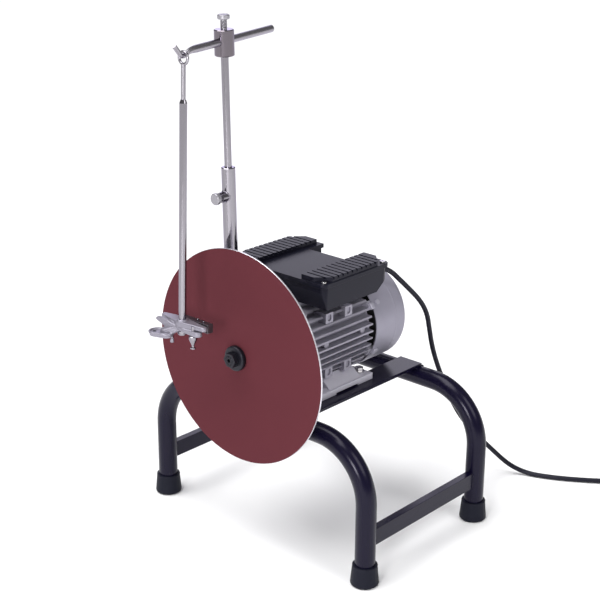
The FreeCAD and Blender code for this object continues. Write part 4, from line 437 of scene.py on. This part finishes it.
def make_stand_welds():
    for side_name, side in SIDES:
        for end, arch_y, inward in (("front", FRONT_Y, 1), ("rear", REAR_Y, -1)):
            for edge_name, edge in (("inner", -1), ("outer", 1)):
                x = side * LEG_X + edge * BAR_FACE
                y = arch_y + inward * BAR_END
                make_bead(
                    f"{side_name}_{end}_{edge_name}_bar_weld", "stand", "gloss_black",
                    straight((x, y, BAR_LOW), (x, y, BAR_HIGH), BAR_BEAD_POINTS), BAR_BEAD)
            for face_name, face in (("ahead", -1), ("behind", 1)):
                x = side * RAIL_X
                y = arch_y + face * RAIL_BEAD_Y
                left = (x - RAIL_HALF_WIDTH, y, RAIL_BEAD_LEVEL)
                right = (x + RAIL_HALF_WIDTH, y, RAIL_BEAD_LEVEL)
                make_bead(
                    f"{side_name}_{end}_{face_name}_rail_weld", "stand", "gloss_black",
                    straight(left, right, RAIL_BEAD_POINTS), RAIL_BEAD)


def make_mast_welds():
    """Beads that follow the mast over the arch tube, and the screw's boss over the mast."""
    foot = []
    for angle in full_turn(MAST_FOOT_POINTS):
        x = MAST_FOOT_RADIUS * math.cos(angle)
        y = MAST_FOOT_RADIUS * math.sin(angle)
        foot.append(MAST_FRAME @ Vector((x, y, math.sqrt(ARCH_RADIUS ** 2 - y ** 2))))
    make_bead("mast_foot_weld", "stand", "gloss_black", foot, MAST_FOOT_BEAD, True)
    boss = []
    for angle in full_turn(BOSS_POINTS):
        x = BOSS_RADIUS * math.cos(angle)
        z = MAST_SCREW_LEVEL + BOSS_RADIUS * math.sin(angle)
        boss.append(MAST_FRAME @ Vector((x, -math.sqrt(MAST_RADIUS ** 2 - x ** 2), z)))
    make_bead("mast_boss_weld", "stand", "chrome_plate", boss, BOSS_BEAD, True)


# Ribs of the cable gland and rolled mouths of the rubber feet

GLAND_ROOT = Vector((62, 111, 374.55))
GLAND_DROOP = math.radians(20)
GLAND_LENGTH = 19.2
GLAND_ROOT_RADIUS = 5.25
GLAND_TAPER = 0.9
RIB_START = 3
RIB_SPACING = 3.6
RIB_COUNT = 4
RIB_BEAD = 0.55
RIB_POINTS = 24
MOUTH_LEVEL = 28.6
MOUTH_RADIUS = 16.2
MOUTH_BEAD = 1.2
MOUTH_POINTS = 40


def make_rings():
    way = Vector((0, math.cos(GLAND_DROOP), -math.sin(GLAND_DROOP)))
    for index in range(RIB_COUNT):
        along = RIB_START + RIB_SPACING * index
        placement = Matrix.Translation(GLAND_ROOT + way * along) @ turn_to(way)
        radius = GLAND_ROOT_RADIUS - GLAND_TAPER * along / GLAND_LENGTH
        make_bead(
            f"gland_rib_{index}", "stand", "rubber_black",
            ring_points(placement, radius, RIB_POINTS), RIB_BEAD, True)
    feet = [(x, y) for y in (FRONT_Y, REAR_Y) for x in (-LEG_X, LEG_X)]
    for index, (x, y) in enumerate(feet):
        make_bead(
            f"foot_mouth_{index}", "stand", "rubber_black",
            ring_points(Matrix.Translation((x, y, MOUTH_LEVEL)), MOUTH_RADIUS, MOUTH_POINTS),
            MOUTH_BEAD, True)


# Cast lugs between the housing and the fan cover: name, up or down, distance from the spindle, y

LUG_ROWS = (("low", -1, 71.5, 107), ("high", 1, 70, 101))
LUG_ANGLE = math.radians(29)
LUG_SIZE = (10, 8, 7)
LUG_ROUND = 2


def make_cover_lugs():
    for side_name, side in SIDES:
        for row_name, row, radius, y in LUG_ROWS:
            way = Vector((side * math.cos(LUG_ANGLE), 0, row * math.sin(LUG_ANGLE)))
            spot = way * radius + Vector((0, y, SPINDLE_Z))
            lug = make_bar(
                f"{side_name}_{row_name}_cover_lug", "stand", "motor_silver",
                Matrix.Translation(spot) @ turn_to(way), LUG_SIZE)
            round_off(lug, LUG_ROUND)


# Long taper of the cross arm into its hook: (distance from the mast, radius) in the head's frame

ARM_TAPER = (
    (56, 4.95), (58, 5.02), (62, 4.85), (66, 4.5), (69, 4.15), (72, 3.8), (75, 3.45), (78, 3.1),
    (79, 2.9))
HOOK_START = 66
HOOK_BEND = 31


def make_arm_taper():
    """Sleeve over the short cone of the CAD arm and the start of its hook."""
    path = []
    for along, _ in ARM_TAPER:
        past = max(along - HOOK_START, 0)
        drop = HOOK_BEND - math.sqrt(HOOK_BEND ** 2 - past ** 2)
        path.append(HEAD_FRAME @ Vector((0, -along, -drop)))
    rings = []
    for index, (_, radius) in enumerate(ARM_TAPER):
        placement = Matrix.Translation(path[index]) @ turn_to(heading(path, index))
        rings.append(ring_points(placement, radius, TURNED_SIDES))
    taper = mesh_piece("arm_taper", *tube_mesh(rings, False), "arm", "chrome_plate")
    taper.data.materials[0] = LOOKS["arm_chrome"]


# Blade holder: one soft casting, in place of the plain jaws, and its dark bar. Millimetres, in the
# holder's frame: x to the right, y towards the disc, z along the pendulum, with the hook at zero.

UPPER_TOP = -343
UPPER_LOW = -349
LOWER_TOP = -350.2
LOWER_LOW = -356.8
HUB_LOW = -353.6
TONGUE_TOP = -359.8
TONGUE_FLOOR = -361.9
TONGUE_LOW = -366.3
TONGUE_POINTS = 14
RIM_RADIUS = 1.3
RIM_POINTS = 8
VOXEL = 0.55
MELT_FACTOR = 0.5
MELT_ROUNDS = 14
BAR_MIDDLE = (12.5, 14, -348.7)
BAR_SIZE = (51, 10, 12)
BAR_ROUND = 0.8
NECK_RADIUS = 5
KNOB_PLACE = (-9.5, -9.5, 0)
KNOB_PROFILE = ((2.6, -373.5), (2.6, -369.5), (1.7, -368.5), (1.7, -358.3))
HOLE_SHADE_PLACE = (-32.8, -19.4)
HOLE_SHADE_RADIUS = 2.4


def disc(x, y, radius, low, high, count=20):
    """Points of an upright round block."""
    return [
        Vector((x + radius * math.cos(angle), y + radius * math.sin(angle), level))
        for level in (low, high)
        for angle in full_turn(count)
    ]


def plate(outline, low, high):
    """Points of a flat block with a given outline."""
    return [Vector((x, y, level)) for level in (low, high) for x, y in outline]


def chain(stations):
    """Blocks that join each station of points to the next."""
    return [here + there for here, there in zip(stations, stations[1:])]


def oval(first, last, count):
    """Outline round two circles (x, y, radius), as points in order."""
    way = math.atan2(last[1] - first[1], last[0] - first[0])
    points = []
    for x, y, radius, start in ((*first, way + math.pi / 2), (*last, way - math.pi / 2)):
        for index in range(count):
            angle = start + math.pi * index / (count - 1)
            points.append((x + radius * math.cos(angle), y + radius * math.sin(angle)))
    return points


def holder_solids():
    """Convex blocks that melt into the casting."""
    hub = disc(0, 0, 9.6, HUB_LOW, UPPER_TOP)
    collar = disc(0, 0, 7.2, UPPER_TOP, UPPER_TOP + 2)
    upper_arm = [
        *disc(0, 0, 10, UPPER_LOW, UPPER_TOP),
        *disc(38, 1.5, 4.5, UPPER_LOW, UPPER_TOP - 0.5),
    ]
    ridge = [
        *disc(2, -7, 2.2, UPPER_LOW, UPPER_TOP + 0.8),
        *disc(38, -0.5, 1.8, UPPER_LOW, UPPER_TOP + 0.2),
    ]
    lower_arm = [
        *disc(0, 0, 10, HUB_LOW, LOWER_TOP),
        *disc(31, -2.5, 6, LOWER_LOW, LOWER_TOP),
    ]
    wing = plate(
        ((-42, 5.5), (-38.5, -2), (-4, -8), (0, 9), (-23, 10.5)), UPPER_TOP - 4.5, UPPER_TOP)
    fin = chain([
        disc(-6, -7, 4, HUB_LOW, -348),
        disc(-12, -9, 3.4, -356, -346.6),
        disc(-19, -9.5, 2.8, -355, -344.4),
        disc(-27, -9.5, 2.4, -352, -343.2),
        disc(-34, -10, 1.9, -350, -343.8),
        disc(-38, -11, 1.2, -348.2, -346),
    ])
    neck = [
        *disc(-19, -11, 8, TONGUE_FLOOR - 2, TONGUE_TOP + 3),
        *disc(-2, -3, 7, HUB_LOW, LOWER_TOP),
    ]
    tongue = oval((-28.8, -17.8, 10.8), (-16.8, -13.8, 10), TONGUE_POINTS)
    floor = plate(tongue, TONGUE_LOW, TONGUE_FLOOR)
    rim = chain([
        disc(x, y, RIM_RADIUS, TONGUE_FLOOR - 1, TONGUE_TOP, RIM_POINTS)
        for x, y in tongue + tongue[:1]
    ])
    return [hub, collar, upper_arm, ridge, lower_arm, wing, *fin, neck, floor, *rim]


def make_casting():
    """The blocks' hulls in one mesh, with a skin over them that is smoothed."""
    shape = bmesh.new()
    for points in holder_solids():
        corners = [shape.verts.new(HOLDER_FRAME @ point * MM) for point in points]
        hull = bmesh.ops.convex_hull(shape, input=corners)
        inside = [item for item in hull["geom_interior"] if isinstance(item, bmesh.types.BMVert)]
        bmesh.ops.delete(shape, geom=inside, context="VERTS")
    mesh = bpy.data.meshes.new("jaw_casting")
    shape.to_mesh(mesh)
    shape.free()
    casting = bpy.data.objects.new("jaw_casting", mesh)
    skin = casting.modifiers.new("skin", "REMESH")
    skin.mode = "VOXEL"
    skin.voxel_size = VOXEL * MM
    skin.use_smooth_shade = True
    melt = casting.modifiers.new("melt", "SMOOTH")
    melt.factor = MELT_FACTOR
    melt.iterations = MELT_ROUNDS
    add_piece(casting, "holder", "cast_alloy", ("upper_jaw", "lower_jaw"))


def make_holder_details():
    # The rest bar's dark steel colour is partly painted shade: it also stands in for the shadow
    # and the disc's dark reflection on the bar
    bar = make_bar(
        "rest_bar", "holder", "dark_steel",
        HOLDER_FRAME @ Matrix.Translation(BAR_MIDDLE), BAR_SIZE)
    round_off(bar, BAR_ROUND)
    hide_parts("holder_bar")
    make_turned(
        "holder_neck", "holder", "dark_steel", HOLDER_FRAME,
        ((NECK_RADIUS, LOWER_LOW - 0.5), (NECK_RADIUS, HUB_LOW + 1)))
    make_turned(
        "stop_screw_knob", "holder", "cast_alloy",
        HOLDER_FRAME @ Matrix.Translation(KNOB_PLACE), KNOB_PROFILE)
    # Painted shade: a thin black disc on the tongue's floor stands in for the hole and the shade
    # inside it
    hole = [
        HOLDER_FRAME @ Vector((*HOLE_SHADE_PLACE, level))
        for level in (TONGUE_FLOOR + 0.25, TONGUE_FLOOR - 1)
    ]
    make_bead("tongue_hole", "holder", "blackened", hole, HOLE_SHADE_RADIUS)


make_screw_details()
make_stand_welds()
make_mast_welds()
make_rings()
make_cover_lugs()
make_arm_taper()
make_casting()
make_holder_details()


# Mains lead, in millimetres: the route to the coil, then the turns

CORD_ROUTE = [
    (62, 129, 368),
    (63, 141.5, 361.5),
    (66, 154, 349),
    (70, 169.5, 333.5),
    (76, 195, 307),
    (79.5, 208, 284),
    (81, 213, 259),
    (82, 220, 229),
    (86, 231, 195),
    (92, 243.5, 163),
    (103, 260, 119),
    (117, 281, 84),
    (131, 303, 57),
    (142, 321, 35),
    (152, 335.5, 18),
    (165, 346, 8),
    (184, 353.5, 3.9),
    (204, 361.5, 3.9),
    (226, 373, 3.9),
    (251, 389, 3.9),
    (282, 411, 4.4),
]
CORD_RADIUS = 3.65
CORD_ROUNDNESS = 5
CORD_SMOOTHNESS = 8
SPLINE_ORDER = 3
COIL_START = Vector((318, 441, CORD_RADIUS + 1.4))
COIL_RADIUS = 50
COIL_PITCH = 7.95
COIL_TAIL = 44
BOTTOM_HALF_TURNS = 4
TOP_HALF_TURNS = 3
POINTS_PER_HALF_TURN = 12


def coil_points():
    """Control points of the turns: in on the floor, up in one half turn, out on top."""
    last = Vector(CORD_ROUTE[-1])
    entry = Vector((COIL_START.x - last.x, COIL_START.y - last.y, 0)).normalized()
    step = math.pi / POINTS_PER_HALF_TURN
    # The spline runs inside its control points, so they stand a little outside the turns
    outward = 1 / (0.75 + 0.25 * math.cos(step))
    # Change of radius and rise of each half turn
    half_turns = [(-COIL_PITCH / 2, 0)] * BOTTOM_HALF_TURNS
    half_turns += [(COIL_PITCH / 2, COIL_PITCH)]
    half_turns += [(COIL_PITCH / 2, 0)] * TOP_HALF_TURNS
    here = COIL_START.copy()
    way = entry.copy()
    across = Vector((entry.y, -entry.x, 0))
    radius = COIL_RADIUS
    points = [here - entry * COIL_PITCH]
    for change, lift in half_turns:
        centre = here + across * radius
        for index in range(POINTS_PER_HALF_TURN):
            angle = (index + 0.5) * step
            rise = Vector((0, 0, lift * angle / math.pi))
            spot = way * math.sin(angle) - across * math.cos(angle)
            points.append(centre + spot * radius * outward + rise)
        here = centre + across * radius + Vector((0, 0, lift))
        way = -way
        across = -across
        radius += change
    points += [here + way * COIL_TAIL * share for share in (0.3, 0.7, 1)]
    return points


def make_cord():
    curve = bpy.data.curves.new("mains_lead", "CURVE")
    curve.dimensions = "3D"
    curve.bevel_depth = CORD_RADIUS * MM
    curve.bevel_resolution = CORD_ROUNDNESS
    curve.use_fill_caps = True
    curve.resolution_u = CORD_SMOOTHNESS
    points = [Vector(point) for point in CORD_ROUTE] + coil_points()
    spline = curve.splines.new("NURBS")
    spline.points.add(len(points) - 1)
    for spot, point in zip(spline.points, points):
        spot.co = (*(point * MM), 1)
    spline.order_u = SPLINE_ORDER
    spline.use_endpoint_u = True
    cord = bpy.data.objects.new("mains_lead", curve)
    add_piece(cord, "stand", "cord_black", ("power_cord", "cord_coil"))


make_cord()


# Stage, light and camera, in metres

FLOOR_REACH = 60
FLOOR_WHITE = (0.97, 0.97, 0.97)
FLOOR_ROUGHNESS = 0.9
WORLD_WHITE = (1, 1, 1, 1)
WORLD_STRENGTH = 0.22
SENSOR = 36
LENS = 81.2
CAMERA_PLACE = (1.19198, -1.28806, 0.97753)
CAMERA_TURN = 42.364
CAMERA_HEIGHT_ANGLE = 19.968
CAMERA_ROLL = 0.355


def make_floor():
    mesh = bpy.data.meshes.new("floor")
    corners = [
        (-FLOOR_REACH, -FLOOR_REACH, 0), (FLOOR_REACH, -FLOOR_REACH, 0),
        (FLOOR_REACH, FLOOR_REACH, 0), (-FLOOR_REACH, FLOOR_REACH, 0),
    ]
    mesh.from_pydata(corners, [], [(0, 1, 2, 3)])
    floor = bpy.data.objects.new("floor", mesh)
    bpy.context.scene.collection.objects.link(floor)
    mesh.materials.append(material("floor_white", FLOOR_WHITE, FLOOR_ROUGHNESS))


def make_light(name, place, target, size, power, color=(1, 1, 1)):
    """Soft box at a place, aimed at a target."""
    data = bpy.data.lights.new(name, "AREA")
    data.color = color
    data.shape = "RECTANGLE"
    data.size, data.size_y = size
    data.energy = power
    lamp = bpy.data.objects.new(name, data)
    bpy.context.scene.collection.objects.link(lamp)
    lamp.location = place
    aim = Vector(target) - Vector(place)
    lamp.rotation_euler = aim.to_track_quat("-Z", "Y").to_euler()


def make_sun(name, come_from, strength, spread):
    """Even light on the whole floor, from a wide soft source; spread is in degrees."""
    data = bpy.data.lights.new(name, "SUN")
    data.energy = strength
    data.angle = math.radians(spread)
    lamp = bpy.data.objects.new(name, data)
    bpy.context.scene.collection.objects.link(lamp)
    lamp.rotation_euler = (-Vector(come_from)).to_track_quat("-Z", "Y").to_euler()


def make_world():
    world = bpy.data.worlds.new("studio")
    bpy.context.scene.world = world
    world.use_nodes = True
    back = world.node_tree.nodes["Background"]
    back.inputs["Color"].default_value = WORLD_WHITE
    back.inputs["Strength"].default_value = WORLD_STRENGTH


def make_camera():
    data = bpy.data.cameras.new("camera")
    data.sensor_width = SENSOR
    data.lens = LENS
    camera = bpy.data.objects.new("camera", data)
    bpy.context.scene.collection.objects.link(camera)
    turn = turn_by(CAMERA_TURN, "Z")
    tilt = turn_by(90 - CAMERA_HEIGHT_ANGLE, "X")
    roll = turn_by(CAMERA_ROLL, "Z")
    camera.matrix_world = Matrix.Translation(CAMERA_PLACE) @ turn @ tilt @ roll
    bpy.context.scene.camera = camera


make_floor()
make_world()
make_sun("sun", come_from=(-0.25, -0.3, 1), strength=3.0, spread=50)
make_light("key", place=(0.95, -2.1, 0.9), target=(0, 0, 0.35), size=(0.5, 0.6), power=24)
make_light("fill", place=(1.8, 0.1, 1.7), target=(0, 0, 0.3), size=(1.0, 1.4), power=16)
make_light(
    "back", place=(-1.7, 1.9, 1.35), target=(0, 0, 0.35), size=(1.8, 1.0), power=10,
    color=(0.88, 0.85, 1))
make_camera()
bpy.context.scene.view_settings.view_transform = "Standard"

bpy.context.view_layer.update()
